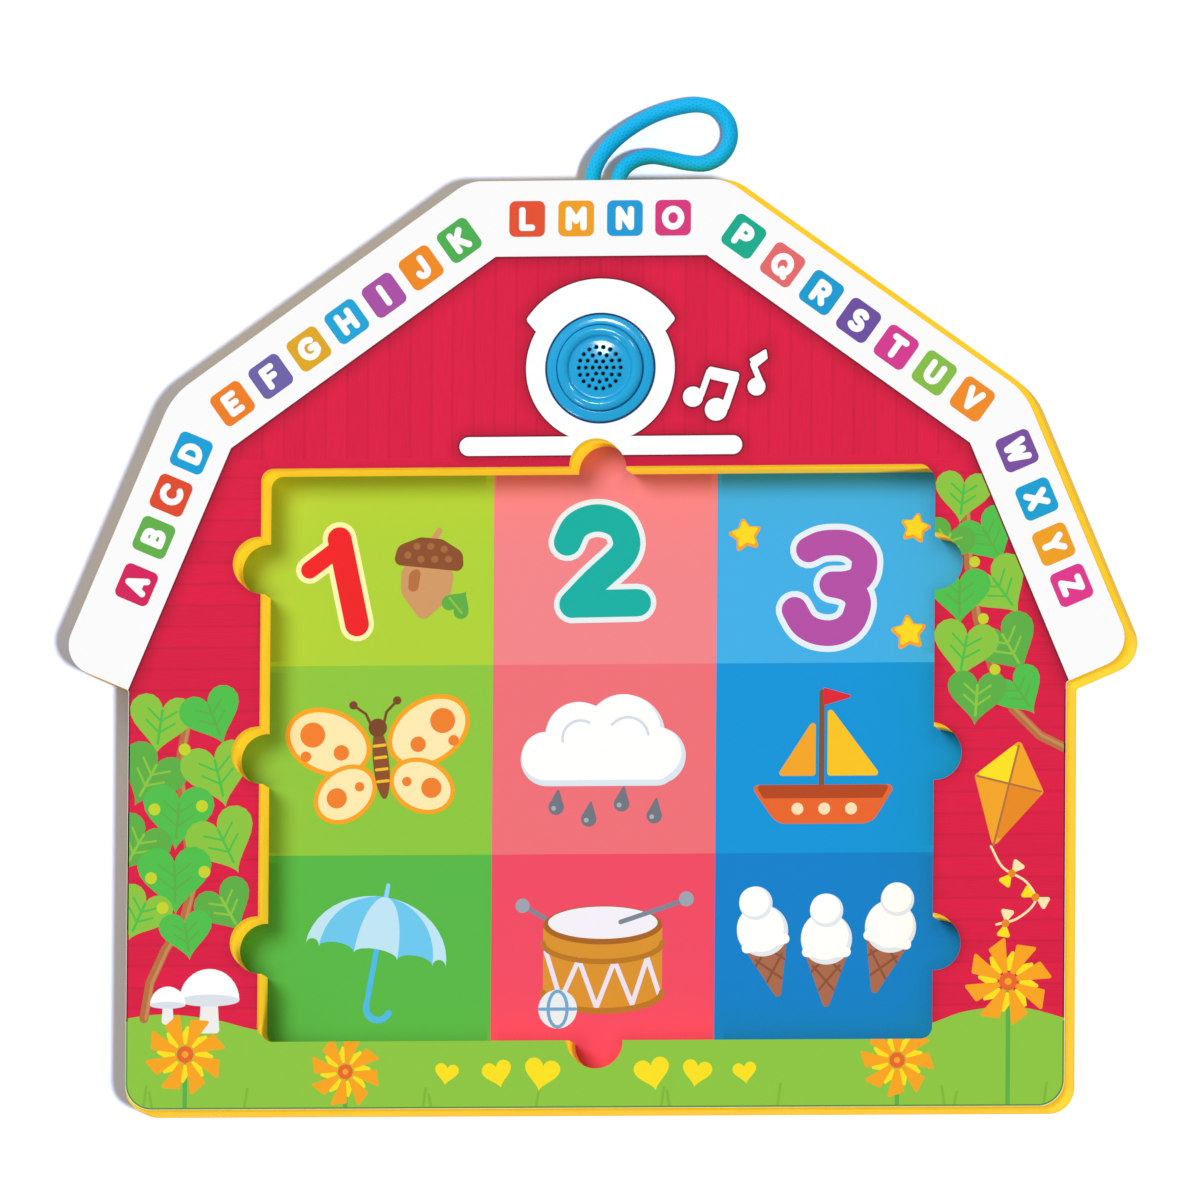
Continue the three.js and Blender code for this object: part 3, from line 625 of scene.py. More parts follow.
def combine(piece, cuts=(), joins=()):
    """Joins solids to a piece, cuts others out of it, and removes them."""
    bpy.context.scene.collection.objects.link(piece)
    tools = [*joins, *cuts]
    for tool in tools:
        bpy.context.scene.collection.objects.link(tool)
        cutting = piece.modifiers.new("cut", "BOOLEAN")
        cutting.object = tool
        cutting.operation = "UNION" if tool in joins else "DIFFERENCE"
        cutting.solver = "EXACT"
    evaluated = piece.evaluated_get(bpy.context.evaluated_depsgraph_get())
    mesh = bpy.data.meshes.new_from_object(evaluated)
    piece.modifiers.clear()
    piece.data = mesh
    for tool in tools:
        bpy.data.objects.remove(tool)
    bpy.context.scene.collection.objects.unlink(piece)
    return piece


def upright_block(left, low, right, high, bottom, top):
    """A plain block to cut with."""
    return slab("tool", [(block(left, low, right, high), foam_colour)], bottom, top)


channels = []
for side in (-1, 1):
    channel = slab("tool", [(oval(0, 0, channel_radius), foam_colour)],
                   0, channel_length + 2 * overshoot)
    mouth = Vector((side * cord_half_gap, board_top + overshoot, cord_height)) * MM
    lying = Matrix.Rotation(math.radians(90), 4, "X")
    channel.data.transform(Matrix.Translation(mouth) @ lying)
    channels.append(channel)
pocket_front = board_top - channel_length
channels.append(upright_block(-pocket_half, pocket_front - pocket_length, pocket_half,
                              pocket_front, frame_z[0] - overshoot, pocket_top))
combine(foam_frame, channels)
round_edges(foam_frame, width=0.35)
show(foam_frame, foam, "foam")
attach(foam_frame, "board")
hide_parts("foam_frame")

# The printed front: a white laminated film glued over the frame. It sits a little towards the
# upper left, so that a narrow margin of yellow foam is left bare along the board's right-hand and
# lower edges and along the tray's left and upper ones.
film_z = (17.7, 18.05)
bare_margin = 1.2
slope_margin = 1.8
# One margin for each side of the outline, from the right-hand one round to the foot.
film_margins = (bare_margin, bare_margin, slope_margin, slope_margin, 0, 0, 0, 0, 0, bare_margin)


def trimmed(corners, margins):
    """The corners of an outline whose sides are moved in, each by its own margin."""
    kept = []
    for i, (x, y, radius) in enumerate(corners):
        here = Vector((x, y))
        before = (here - Vector(corners[i - 1][:2])).normalized()
        after = (Vector(corners[(i + 1) % len(corners)][:2]) - here).normalized()
        inward = Matrix(((-before.y, before.x), (-after.y, after.x)))
        kept.append((*(here + inward.inverted() @ Vector((margins[i - 1], margins[i]))), radius))
    return kept


film_gaps = tray_shapes + [[p + Vector((-bare_margin, bare_margin)) for p in outline]
                           for outline in tray_shapes]
front_film = slab("front_film", [(rounded(trimmed(board_corners, film_margins)), "#FBFBFB")],
                  *film_z, cut=film_gaps + [bore])
round_edges(front_film, width=0.1, segments=2)
show(front_film, satin_print, "board")
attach(front_film, "board")
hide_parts("front_print")

# The barn wall, printed on the film: red boards under a white roof, upright in the gable and
# lying below it, with printed soft shade where the roof and the white shapes stand over them.
ink_step = 0.03
white_ink_reach = 17.9
module_rim = oval(0, module_y, white_ink_reach, points=96)
roof_end = -14
roof_line = [Vector(p) for p in ((-wall_half, roof_end), (-124.0, 66.9), (-35.4, 130.3),
                                 (35.4, 130.3), (124.0, 66.9), (wall_half, roof_end))]
wall_outline = roof_line + [Vector((wall_half, board_foot)), Vector((-wall_half, board_foot))]
ring_radius = 25.0
bar_shape = block(-47.2, 63.6, 47.8, 69.9, radius=3.12)


def bar(x0, y0, x1, y1, width, points=10):
    """A straight stroke with round ends."""
    start, end = Vector((x0, y0)), Vector((x1, y1))
    base = math.atan2(y1 - y0, x1 - x0)
    arm = width / 2
    outline = []
    for centre, first in ((end, base - math.pi / 2), (start, base + math.pi / 2)):
        for k in range(points + 1):
            angle = first + math.pi * k / points
            outline.append(centre + Vector((math.cos(angle), math.sin(angle))) * arm)
    return outline


def strokes(points, width, colour):
    """One thick stroke through the points, as overlapping straight ones."""
    return [(bar(*a, *b, width), colour) for a, b in zip(points, points[1:])]


def arc_points(x, y, rx, ry, first, last, pieces=12):
    """Points along an arc, angles in degrees."""
    angles = [math.radians(first + (last - first) * k / pieces) for k in range(pieces + 1)]
    return [(x + rx * math.cos(a), y + ry * math.sin(a)) for a in angles]


# The banner is a stretch of a ring: an outer and an inner arc, each as far to the left as to the
# right of straight up, with its four ends rounded.
banner_steps = 40
banner_points = []
for reach, half_turn in ((30.0, 57), (24.0, -61.5)):
    banner_points += arc_points(0, module_y, reach, reach, 90 - half_turn, 90 + half_turn, banner_steps)
banner_ends = (0, banner_steps, banner_steps + 1, 2 * banner_steps + 1)
banner_shape = rounded([(x, y, 1.2 if i in banner_ends else 0)
                        for i, (x, y) in enumerate(banner_points)], step=20)
white = "#FFFFFF"
note_shapes = [
    (oval(31.2, 82.9, 3.4), white), (oval(39.0, 78.6, 3.8), white),
    (bar(33.9, 83.5, 36.6, 91.2, 2.1), white), (bar(42.0, 79.4, 45.2, 89.0, 2.7), white),
    (rounded([(35.7, 93.2, 0.9), (37.2, 88.7, 0), (45.9, 86.6, 0), (46.9, 90.8, 1.0)]), white),
    (oval(52.5, 86.1, 3.0), white), (bar(54.3, 86.6, 51.3, 93.6, 2.0), white),
    (rounded([(49.8, 95.2, 0.5), (52.6, 92.6, 0), (56.2, 95.5, 0.4), (55.7, 98.8, 0.4)]), white),
]
white_shapes = [oval(0, module_y, ring_radius, points=128), bar_shape, banner_shape]
white_shapes += [outline for outline, _ in note_shapes]
shade_reach = 6.0
shade_gaps = (0.4, 0.9, 1.8, 3.0, 4.6, 6.2)
tray_reach = 4.5
tray_gaps = (0.8, 2.4, 4.6)
# Most of the shade is broad, and the rest lies close to the edge.
broad_share = 0.6
close_share = 0.4
close_reach = 0.7
roof_shade = 0.55
shape_shade = 0.45
tray_shade = 0.25
edge_inset = 0.15
board_inner = rounded(trimmed(board_corners, [edge_inset + margin for margin in film_margins]))


def wall_light(points):
    """The light share of the printed boards: less beside the roof, the shapes and the tray."""
    def fade(gap, depth, reach):
        broad = broad_share * np.clip(1 - gap / reach, 0, 1) ** shade_falloff
        return 1 - depth * (broad + close_share * np.exp(-gap / close_reach))
    light = fade(distance(points, roof_line, False), roof_shade, shade_reach)
    gaps = np.min([distance(points, outline) for outline in white_shapes], axis=0)
    light = light * fade(gaps, shape_shade, shade_reach)
    gaps = np.min([distance(points, outline) for outline in tray_shapes], axis=0)
    return light * fade(gaps, tray_shade, tray_reach)


shade_points = [beside(roof_line, shade_gaps, spacing=4.0, closed=False)]
# The roof line's two ends have a fan of points of their own, down to the wall's edge.
fan = [math.radians(angle) for angle in (0, 30, 60, 88)]
for side in (-1, 1):
    shade_points.append(np.array([(side * (wall_half - gap * math.cos(a)), roof_end - gap * math.sin(a))
                                  for gap in shade_gaps for a in fan]))
shade_points += [beside(outline, shade_gaps) for outline in white_shapes]
shade_points += [beside(outline, tray_gaps, spacing=4.0) for outline in tray_shapes]
wall_level = film_z[1] + ink_step
barn_wall = slab("barn_wall_print", [(wall_outline, "#DC1843")], film_z[1], wall_level,
                 within=[board_inner], cut=film_gaps + [module_rim],
                 extra=np.concatenate(shade_points), shade=wall_light)
# The same laminated print, with a joint between boards every 7.1 mm and a tone of its own for
# each board.
plank_width = 7.1
gable_foot = 63.0
board_print, tree, shader, place, inked = start_print("laminated_board_print")
axes = add(tree, "SeparateXYZ", {0: place}).outputs
high_up = add(tree, "Math", {0: axes["Y"], 1: gable_foot}, operation="GREATER_THAN")
# Sockets 2 and 3 of a Mix node are its two plain numbers.
count_up = add(tree, "Mix", {0: high_up, 2: axes["Y"], 3: axes["X"]})
count_up = add(tree, "Math", {0: count_up, 1: plank_width}, operation="DIVIDE")
plank = add(tree, "Math", {0: count_up}, operation="FLOOR")
in_plank = add(tree, "Math", {0: count_up}, operation="FRACT")
to_joint = add(tree, "Math", {0: in_plank, 1: 0.5}, operation="SUBTRACT")
to_joint = add(tree, "Math", {0: to_joint}, operation="ABSOLUTE")
joint = add(tree, "MapRange",
            {"Value": to_joint, "From Min": 0.41, "From Max": 0.47,
             "To Min": 1.0, "To Max": 0.9})
own_tone = add(tree, "TexWhiteNoise", {"W": plank}, noise_dimensions="1D")
own_tone = add(tree, "MapRange", {"Value": own_tone, "To Min": 0.96, "To Max": 1.04})
tone = add(tree, "Math", {0: joint, 1: own_tone}, operation="MULTIPLY")
# Printed wood grain along each board: streaks 1 mm wide and some 60 mm long.
grain_width = 1.0
grain_length = 60.0
along = add(tree, "Mix", {0: high_up, 2: axes["X"], 3: axes["Y"]})
along = add(tree, "Math", {0: along, 1: grain_length}, operation="DIVIDE")
over = add(tree, "Math", {0: count_up, 1: plank_width / grain_width}, operation="MULTIPLY")
grain_place = add(tree, "CombineXYZ", {0: over, 1: along})
grain = add(tree, "TexNoise", {"Vector": grain_place, "Detail": 2})
grain = add(tree, "MapRange",
            {"Value": grain, "From Min": 0.3, "From Max": 0.7,
             "To Min": 0.93, "To Max": 1.07})
tone = add(tree, "Math", {0: tone, 1: grain}, operation="MULTIPLY")
add(tree, "VectorMath", {0: inked, "Scale": tone}, shader.inputs["Base Color"], operation="SCALE")
show(barn_wall, board_print, "board")
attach(barn_wall, "board")

# White shapes printed round the sound module: a ring with a plain banner over it and a bar under
# it, and two music notes beside it. They and the roof have a thin dark line on the red side. A dark
# blue ring round the module's flange and a dark red line along the film's cut side edges are
# painted shade.
def grown(outline, by):
    """The same closed outline, moved outwards a little."""
    area = sum(a.cross(b) for a, b in zip(outline, outline[1:] + outline[:1]))
    moved_out = []
    for before, here, after in zip(outline[-1:] + outline[:-1], outline, outline[1:] + outline[:1]):
        along = (here - before).normalized() + (after - here).normalized()
        square = Vector((along.y, -along.x)).normalized() * math.copysign(by, area)
        moved_out.append(here + square)
    return moved_out


line_width = 0.5
print_line_and_edge_shade_colour = "#7F0E2A"
flange_shade_width = 0.7
wall_edges = (edge_inset - wall_half, wall_half - edge_inset - bare_margin)
grass_side = -124.5
# Painted shade: a dark blue ring round the module's flange, where it meets the print.
flange_shade_ring = grown(module_rim, flange_shade_width)
ring_shapes = strokes([(p.x, p.y - line_width / 2) for p in roof_line], line_width, print_line_and_edge_shade_colour)
ring_shapes += [(grown(outline, line_width), print_line_and_edge_shade_colour) for outline in white_shapes]
ring_shapes += [(outline, white) for outline in white_shapes] + [(flange_shade_ring, "#123F73")]
# Painted shade: a dark red line along the film's cut side edges.
for edge in wall_edges:
    ring_shapes += strokes([(edge, roof_end - 2), (edge, grass_side)], 2 * line_width, print_line_and_edge_shade_colour)
ring_print = slab("module_ring_print", ring_shapes, wall_level, wall_level + ink_step,
                  within=[board_inner], cut=film_gaps + [module_rim])
show(ring_print, satin_print, "board")
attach(ring_print, "board")

# The alphabet printed along the roof: 26 small rounded tiles in many colours, each with a white
# capital in one plain stroke with round ends.
tile_size = 12.0
tile_corner = 2.1
letter_height = 5.9
letter_stroke = 2.15
glyph_shares = {
    "A": [[(0, 0), (.37, 1), (.74, 0)], [(.14, .3), (.6, .3)]],
    "B": [[(0, 0), (0, 1), (.36, 1)] + arc_points(.36, .76, .22, .24, 90, -90, 6) + [(0, .52)],
          [(.36, .52)] + arc_points(.38, .26, .27, .26, 90, -90, 6) + [(0, 0)]],
    "C": [arc_points(.46, .5, .46, .5, 50, 310)],
    "D": [[(0, 0), (0, 1), (.24, 1)] + arc_points(.24, .5, .48, .5, 90, -90, 8) + [(0, 0)]],
    "E": [[(.58, 1), (0, 1), (0, 0), (.58, 0)], [(0, .5), (.5, .5)]],
    "F": [[(.58, 1), (0, 1), (0, 0)], [(0, .5), (.5, .5)]],
    "G": [arc_points(.46, .5, .46, .5, 50, 330), [(.86, .2), (.86, .48), (.55, .48)]],
    "H": [[(0, 0), (0, 1)], [(.7, 0), (.7, 1)], [(0, .5), (.7, .5)]],
    "I": [[(0, 0), (0, 1)]],
    "J": [[(.5, 1), (.5, .28)] + arc_points(.24, .28, .26, .28, 0, -180, 8)],
    "K": [[(0, 0), (0, 1)], [(.62, 1), (0, .42)], [(.22, .62), (.66, 0)]],
    "L": [[(0, 1), (0, 0), (.55, 0)]],
    "M": [[(0, 0), (0, 1), (.42, .38), (.84, 1), (.84, 0)]],
    "N": [[(0, 0), (0, 1), (.68, 0), (.68, 1)]],
    "O": [arc_points(.46, .5, .46, .5, 0, 360, 18)],
    "P": [[(0, 0), (0, 1), (.34, 1)] + arc_points(.34, .72, .28, .28, 90, -90, 6) + [(0, .44)]],
    "Q": [arc_points(.46, .5, .46, .5, 0, 360, 18), [(.58, .3), (.88, -.04)]],
    "R": [[(0, 0), (0, 1), (.34, 1)] + arc_points(.34, .72, .28, .28, 90, -90, 6) + [(0, .44)],
          [(.32, .44), (.64, 0)]],
    "S": [arc_points(.32, .75, .3, .25, 35, 270, 9) + arc_points(.32, .25, .32, .25, 90, -145, 9)],
    "T": [[(0, 1), (.7, 1)], [(.35, 1), (.35, 0)]],
    "U": [[(0, 1), (0, .33)] + arc_points(.33, .33, .33, .33, 180, 360, 8) + [(.66, 1)]],
    "V": [[(0, 1), (.36, 0), (.72, 1)]],
    "W": [[(0, 1), (.24, 0), (.5, .85), (.76, 0), (1, 1)]],
    "X": [[(0, 0), (.68, 1)], [(0, 1), (.68, 0)]],
    "Y": [[(0, 1), (.36, .46), (.72, 1)], [(.36, .46), (.36, 0)]],
    "Z": [[(0, 1), (.62, 1), (0, 0), (.64, 0)]],
}
# For each stretch of the roof its slope in degrees, then letter, colour and the tile's middle.
tile_rows = [
    (67, [("A", "#D5205B", -155.7, 21.3), ("B", "#63B04A", -150.0, 37.1),
          ("C", "#E04A2B", -144.3, 51.2), ("D", "#10A0D8", -137.6, 65.3)]),
    (35.6, [("E", "#F07F1E", -123.8, 81.8), ("F", "#6D62A8", -111.0, 90.8),
            ("G", "#E0A81E", -98.2, 99.9), ("H", "#1AA5D8", -85.5, 109.0),
            ("I", "#A94FA5", -73.0, 117.7), ("J", "#F08A1C", -60.6, 126.8),
            ("K", "#4CAF50", -47.8, 135.9)]),
    (0, [("L", "#E4502F", -25.0, 142.9), ("M", "#F0A01E", -8.5, 142.9),
         ("N", "#1B9BD8", 7.9, 142.9), ("O", "#D8387C", 24.1, 142.9)]),
    (-35.6, [("P", "#12AB8C", 47.9, 136.5), ("Q", "#E56A6A", 61.0, 126.8),
             ("R", "#129BD2", 74.1, 117.4), ("S", "#6B4FA0", 86.6, 108.0),
             ("T", "#D43A90", 99.3, 98.9), ("U", "#86BD45", 112.1, 90.2),
             ("V", "#F08C22", 124.9, 81.4)]),
    (-67, [("W", "#7A4FA0", 140.0, 64.0), ("X", "#12A0D2", 146.7, 47.8),
           ("Y", "#F0A01C", 152.4, 32.7), ("Z", "#E0368C", 158.5, 18.9)]),
]


def moved(shapes, x, y, tilt=0.0, size=1.0):
    """The same shapes at another place, turned by tilt in degrees and scaled."""
    lean = Matrix.Rotation(math.radians(tilt), 2)
    return [([Vector((x, y)) + lean @ (Vector(p) * size) for p in outline], colour)
            for outline, colour in shapes]


tile_half = tile_size / 2
tile_outline = block(-tile_half, -tile_half, tile_half, tile_half, tile_corner)
tile_shapes = []
for tilt, tiles in tile_rows:
    for letter, colour, x, y in tiles:
        lines = glyph_shares[letter]
        wide = max(p[0] for line in lines for p in line)
        drawn = [(tile_outline, colour)]
        for line in lines:
            places = [((p[0] - wide / 2) * letter_height, (p[1] - 0.5) * letter_height)
                      for p in line]
            drawn += strokes(places, letter_stroke, white)
        tile_shapes += moved(drawn, x, y, tilt)
letter_tiles = slab("letter_tiles_print", tile_shapes, film_z[1], film_z[1] + ink_step)
show(letter_tiles, satin_print, "board")
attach(letter_tiles, "board")

# The garden printed round the tray, in flat inks over the barn's wall: a strip of grass along the
# foot, a vine of heart-shaped leaves up each side, white toadstools, paper windmills on sticks,
# yellow hearts and a kite.
def soft_line(points, steps=6):
    """A smooth line through the points."""
    return [Vector(p[:2]) for p in smooth_route([(x, y, 0) for x, y in points], steps)]


def heart(x, y, size, tilt=0.0, points=32):
    """A heart that fits a square of that size, its tip down at tilt 0."""
    lean = Matrix.Rotation(math.radians(tilt), 2)
    outline = []
    for k in range(points):
        t = 2 * math.pi * k / points
        rise = 13 * math.cos(t) - 5 * math.cos(2 * t) - 2 * math.cos(3 * t) - math.cos(4 * t)
        outline.append(Vector((x, y)) + lean @ Vector((-16 * math.sin(t) ** 3, rise)) * size / 32)
    return outline


def softened(points, radius, step=20):
    """A closed outline from plain points, with all its corners rounded alike."""
    return rounded([(*p, radius) for p in points], step)


def vine(twig, leaves, greens):
    """A brown twig with heart-shaped leaves (x, y, size, tilt), each with its ribs."""
    shapes = strokes(twig, 3.0, "#B5713F") + strokes([(x + 0.7, y) for x, y in twig], 1.0, "#C98A57")
    for i, (x, y, size, tilt) in enumerate(leaves):
        leaf = [(heart(0, 0, size), greens[i % 3]),
                (bar(0, -size * 0.36, 0, size * 0.14, 0.9), greens[i % 3 - 2])]
        for side in (-1, 1):
            for up in (-0.2, -0.02):
                leaf.append((bar(0, size * up, side * size * 0.22, size * (up + 0.17), 0.7),
                             greens[i % 3 - 2]))
        shapes += moved(leaf, x, y, tilt)
    return shapes


def windmill(x, y, reach, tilt, foot):
    """A paper windmill: eight folded blades round a pin, on a green stick."""
    shapes = [(bar(x, y, x, foot, 1.5), "#5DAF45")]
    for k in range(8):
        fold = (reach * 0.74, reach * 0.4)
        blade = [(softened([(0, 0), (reach, 0), fold], reach * 0.04, step=30), "#F9A51B"),
                 (softened([(0, 0), fold, (reach * 0.36, reach * 0.36)], reach * 0.04, step=30),
                  "#FCE21B")]
        shapes += moved(blade, x, y, tilt + 45 * k)
    return shapes + [(oval(x, y, reach * 0.2), "#E9662A"), (oval(x, y, reach * 0.08), "#F5A623")]


def toadstool(x, foot, size):
    """A white toadstool with a domed cap."""
    cap = arc_points(x, foot + size * 0.5, size * 0.46, size * 0.48, 0, 180, 16)
    return [
        (rounded([(x - size * 0.16, foot, 1.2), (x + size * 0.16, foot, 1.2),
                  (x + size * 0.12, foot + size * 0.6, 0), (x - size * 0.12, foot + size * 0.6, 0)],
                 step=20), "#F1EFEA"),
        ([Vector(p) for p in cap], white),
        (oval(x, foot + size * 0.5, size * 0.46, size * 0.09), "#DCE3EA"),
    ]


grass = soft_line([(-162, -124.5), (-146, -122.6), (-128, -124.5), (-112, -128.2), (-60, -129.2),
                   (0, -129.6), (60, -129.2), (108, -127.8), (124, -122.8), (142, -121.6),
                   (162, -126.8)])
grass += [Vector((162, board_foot - 2)), Vector((-162, board_foot - 2))]
garden = [(grass, "#8CC63F")]
garden += [(bar(x, board_foot + 1, x + lean, board_foot + 1 + tall, 0.9), "#7DB838")
           for x, lean, tall in ((-152, 1, 8), (-149, -1, 6), (-118, 1, 7), (-58, 1, 7), (-55, -1, 5),
                                 (-20, 1, 6), (22, 1, 7), (25, -1, 6), (61, 1, 8), (117, -1, 7),
                                 (120, 1, 5), (150, 1, 8))]
greens = ("#8CC63F", "#4FC04A", "#5DAF45")
garden += vine([(-152, -124), (-150, -112), (-145, -101), (-139, -92), (-136, -80), (-138, -62),
                (-141, -40), (-138, -24)],
               [(-147, -24, 22, -8), (-130, -22, 21, 22), (-150, -42, 23, -28), (-128, -41, 24, 14),
                (-141, -55, 24, -4), (-154, -65, 21, -30), (-126, -64, 24, 26), (-142, -76, 25, 2),
                (-125, -86, 20, 30), (-153, -88, 20, -24), (-138, -95, 18, 8)], greens)
garden += [(oval(x, y, 2.0), "#C8D62B") for x, y in ((-139, -34), (-133, -53), (-149, -54),
                                                     (-132, -75), (-150, -77), (-146, -87))]
garden += vine([(158, -36), (148, -31), (139, -22), (132, -8), (127, 8), (124, 26), (123, 44)],
               [(122, 50, 19, -6), (130, 36, 21, 30), (117, 34, 18, -20), (134, 19, 22, 36),
                (121, 17, 21, 0), (137, 0, 22, 30), (123, -1, 22, -10), (141, -16, 18, 34),
                (127, -17, 20, -4)], greens)
garden += [(oval(x, y, 1.8), "#C8D62B") for x, y in ((126, 27), (129, 8), (133, -9))]
garden += toadstool(-130, -129, 22) + toadstool(-144, -126, 13)
for x, y, reach, tilt in ((-138, -136, 14, 8), (-84, -142, 12.5, 20), (138, -113, 15, 4),
                          (101, -139, 13, 30)):
    garden += windmill(x, y, reach, tilt, board_foot)
garden += [(heart(x, -142.5, size, tilt), "#FCE21B") for x, size, tilt in
           ((-33, 10, 14), (-18, 12, -10), (19, 12, 12), (34, 10, -10), (-50, 8, -8), (50, 8, 8))]
kite = [(softened(points, 1.2), colour) for points, colour in
        (([(0, 19), (-12, 4), (0, -18), (12, 4)], "#F5A623"),
         ([(0, 19), (-12, 4), (0, 4)], "#FCE21B"), ([(0, 4), (0, -18), (12, 4)], "#E98A1C"))]
kite += strokes([(0, 17), (0, -17)], 0.7, "#B5713F") + strokes([(-11, 4), (11, 4)], 0.7, "#B5713F")
kite_tail = soft_line([(132, -68), (136, -75), (144, -80), (147, -86), (141, -92), (134, -94)])
garden += strokes(kite_tail, 0.8, "#FBE9B0")
garden += moved(kite, 137, -51, -14)
bow = [(softened([(0, 0), (-4.6, 2.7), (-4.6, -2.7)], 0.7, step=30), "#FCE21B"),
       (softened([(0, 0), (4.6, -2.7), (4.6, 2.7)], 0.7, step=30), "#FBE9B0"),
       (oval(0, 0, 1.3), "#E98A1C")]
for x, y, tilt in ((139, -77, 52), (147, -85, -30), (137, -93.6, 80)):
    garden += moved(bow, x, y, tilt)
# Painted shade: a dark green line along the film's cut edge at the foot and lower sides.
low_left = [p for p in board_inner if p.x < 0 and p.y < grass_side]
low_right = [p for p in board_inner if p.x > 0 and p.y < grass_side]
garden += strokes([Vector((wall_edges[0], grass_side)), *low_left, *low_right,
                   Vector((wall_edges[1], grass_side - 2))], 2 * line_width, "#5B8A2C")
under_roof = [Vector((p.x, p.y - 1.5 * line_width)) for p in roof_line]
under_roof += [Vector((wall_half, board_foot)), Vector((-wall_half, board_foot))]
garden_print = slab("garden_print", garden, wall_level, wall_level + ink_step,
                    within=[board_inner, under_roof], cut=film_gaps)
show(garden_print, satin_print, "board")
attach(garden_print, "board")

# The numbers on the tray's floor, 1 to 3, printed in the upper row of cells, each as a fat rounded
# figure with a pale edge.
floor_level = floor_z[1]
# Each figure's colour, its edge's colour and width, and its lines, which are points and a width.
figure_lines = [
    ("#ED2024", "#FDF8B4", 1.7,
     [([(-89.6, 37.6), (-83.5, 9.0)], 8.1), ([(-99.6, 27.3), (-89.3, 35.0)], 5.8)]),
    ("#0DB0A4", "#E9F3F5", 1.8,
     [([(-12.8, 36.1), (-10.4, 41.0), (-6.6, 43.4), (-2.4, 44.1), (1.8, 43.2), (5.2, 41.0), (7.2, 35.9),
        (6.6, 33.0), (4.9, 30.5), (-3.1, 23.2), (-10.8, 15.2)], 9.2), ([(-10.8, 15.3), (10.9, 15.6)], 9.2)]),
    ("#B44FA8", "#E6F2FC", 2.0,
     [([(68.4, 33.0), (72.2, 34.8), (76.7, 35.3), (81.2, 34.9), (84.8, 33.0), (86.9, 30.4), (87.1, 27.8),
        (86.4, 24.6), (84.4, 22.5), (80.6, 21.4), (76.3, 21.3)], 8.6),
      ([(76.3, 21.3), (80.8, 20.2), (84.0, 18.0), (85.1, 15.0), (84.5, 11.9), (83.2, 8.9), (80.8, 6.6),
        (77.8, 5.3), (74.3, 5.0), (70.0, 5.9), (66.5, 8.2), (63.7, 12.9)], 8.6)]),
]
figures = []
for colour, edge_colour, edge, lines in figure_lines:
    for wider, ink in ((2 * edge, edge_colour), (0, colour)):
        for line, width in lines:
            figures += strokes(soft_line(line, steps=3), width + wider, ink)
figures_print = slab("tray_figures_print", figures, floor_level, floor_level + ink_step)
show(figures_print, satin_print, "board")
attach(figures_print, "board")

# The pictures printed on the tray's floor in flat inks: an acorn beside the 1, stars round the 3,
# and in the cells below a butterfly, a rain cloud, a sailing boat, an umbrella, a toy drum and
# ice-cream cones.
acorn = [
    (bar(0, 13, 2.5, 18, 2.2), "#7A4526"),
    (rounded([(-10, 6, 5), (-9, -6, 6), (0, -16, 3), (9, -6, 6), (10, 6, 5)], step=12), "#B5713F"),
    (rounded([(-7, 4, 3), (-6.5, -4, 3), (-3, -10, 2), (-2.5, 3, 2)], step=12), "#D19A66"),
    (rounded([(-13, 4, 2.5), (13, 4, 2.5), (12, 11, 4), (4, 15, 4), (-4, 15, 4), (-12, 11, 4)], step=12),
     "#8A4F2B"),
]
acorn += [(oval(x, y, 1.3), "#A56A3E") for x, y in ((-8, 8), (-3, 7), (2, 7.5), (7, 8), (-5, 11.5),
                                                    (0, 12), (5, 11.5))]
acorn += [(heart(12, -8, 11, 150), "#5DAF45"), (bar(9, -6, 14, -11, 0.8), "#8CC63F")]


def star(x, y, reach, tilt):
    """A star with five rounded tips."""
    arms = 5
    points = []
    for k in range(2 * arms):
        angle = math.radians(90 + tilt) + math.pi * k / arms
        out = reach * (0.52 if k % 2 else 1)
        points.append((x + out * math.cos(angle), y + out * math.sin(angle)))
    return softened(points, reach * 0.12, step=24)


stars = []
for x, y, reach, tilt in ((-29, 12, 6.5, 10), (28, 14, 6, -12), (26, -21, 7, 6)):
    stars += [(star(x, y, reach, tilt), "#F9A51B"), (star(x, y + 0.4, reach * 0.8, tilt), "#FCDB1B")]
butterfly = []
for side in (-1, 1):
    wing = [
        (oval(17, 8, 15, 11, 28), "#F9A51B"), (oval(17, 8, 13.4, 9.4, 28), "#FDEBB2"),
        (oval(13, -10, 11.5, 9, -32), "#F9A51B"), (oval(13, -10, 10, 7.5, -32), "#FDEBB2"),
        (oval(22, 11, 4.2), "#F0812B"), (oval(13, 4, 2.6), "#F0812B"), (oval(16, -11, 3.4), "#F0812B"),
        (oval(25, 4, 1.8), "#F0812B"), (oval(8, -8, 1.6), "#F0812B"),
    ]
    butterfly += [([Vector((side * p.x, p.y)) for p in outline], colour) for outline, colour in wing]
    butterfly += strokes([(side * 1, 9), (side * 3.5, 16), (side * 7, 19)], 0.9, "#7A4526")
    butterfly.append((oval(side * 7.4, 19.4, 1.4), "#7A4526"))
butterfly += [(oval(0, -1, 2.7, 12), "#8A4F2B"), (oval(0, 11, 3.1), "#7A4526")]
butterfly += [(bar(-1.8, y, 1.8, y, 1.0), "#F5C02A") for y in (-7, -3, 1, 5)]
puffs = ((-17, -1, 9), (-6, 6, 12), (9, 7, 13.5), (20, 0, 9.5))
cloud = [(oval(x, y, r), "#DDE8F2") for x, y, r in puffs]
cloud += [(block(-22, -10, 26, 2, 6), "#DDE8F2")]
cloud += [(oval(x - 0.6, y + 1.1, r - 0.9), white) for x, y, r in puffs]
cloud += [(block(-21, -8, 25, 3, 5), white)]
cloud += strokes(arc_points(-6, 6, 6, 6, 60, 190, 8), 0.9, "#D5DEE8")
cloud += strokes(arc_points(10, 6, 7, 7, 10, 140, 8), 0.9, "#D5DEE8")
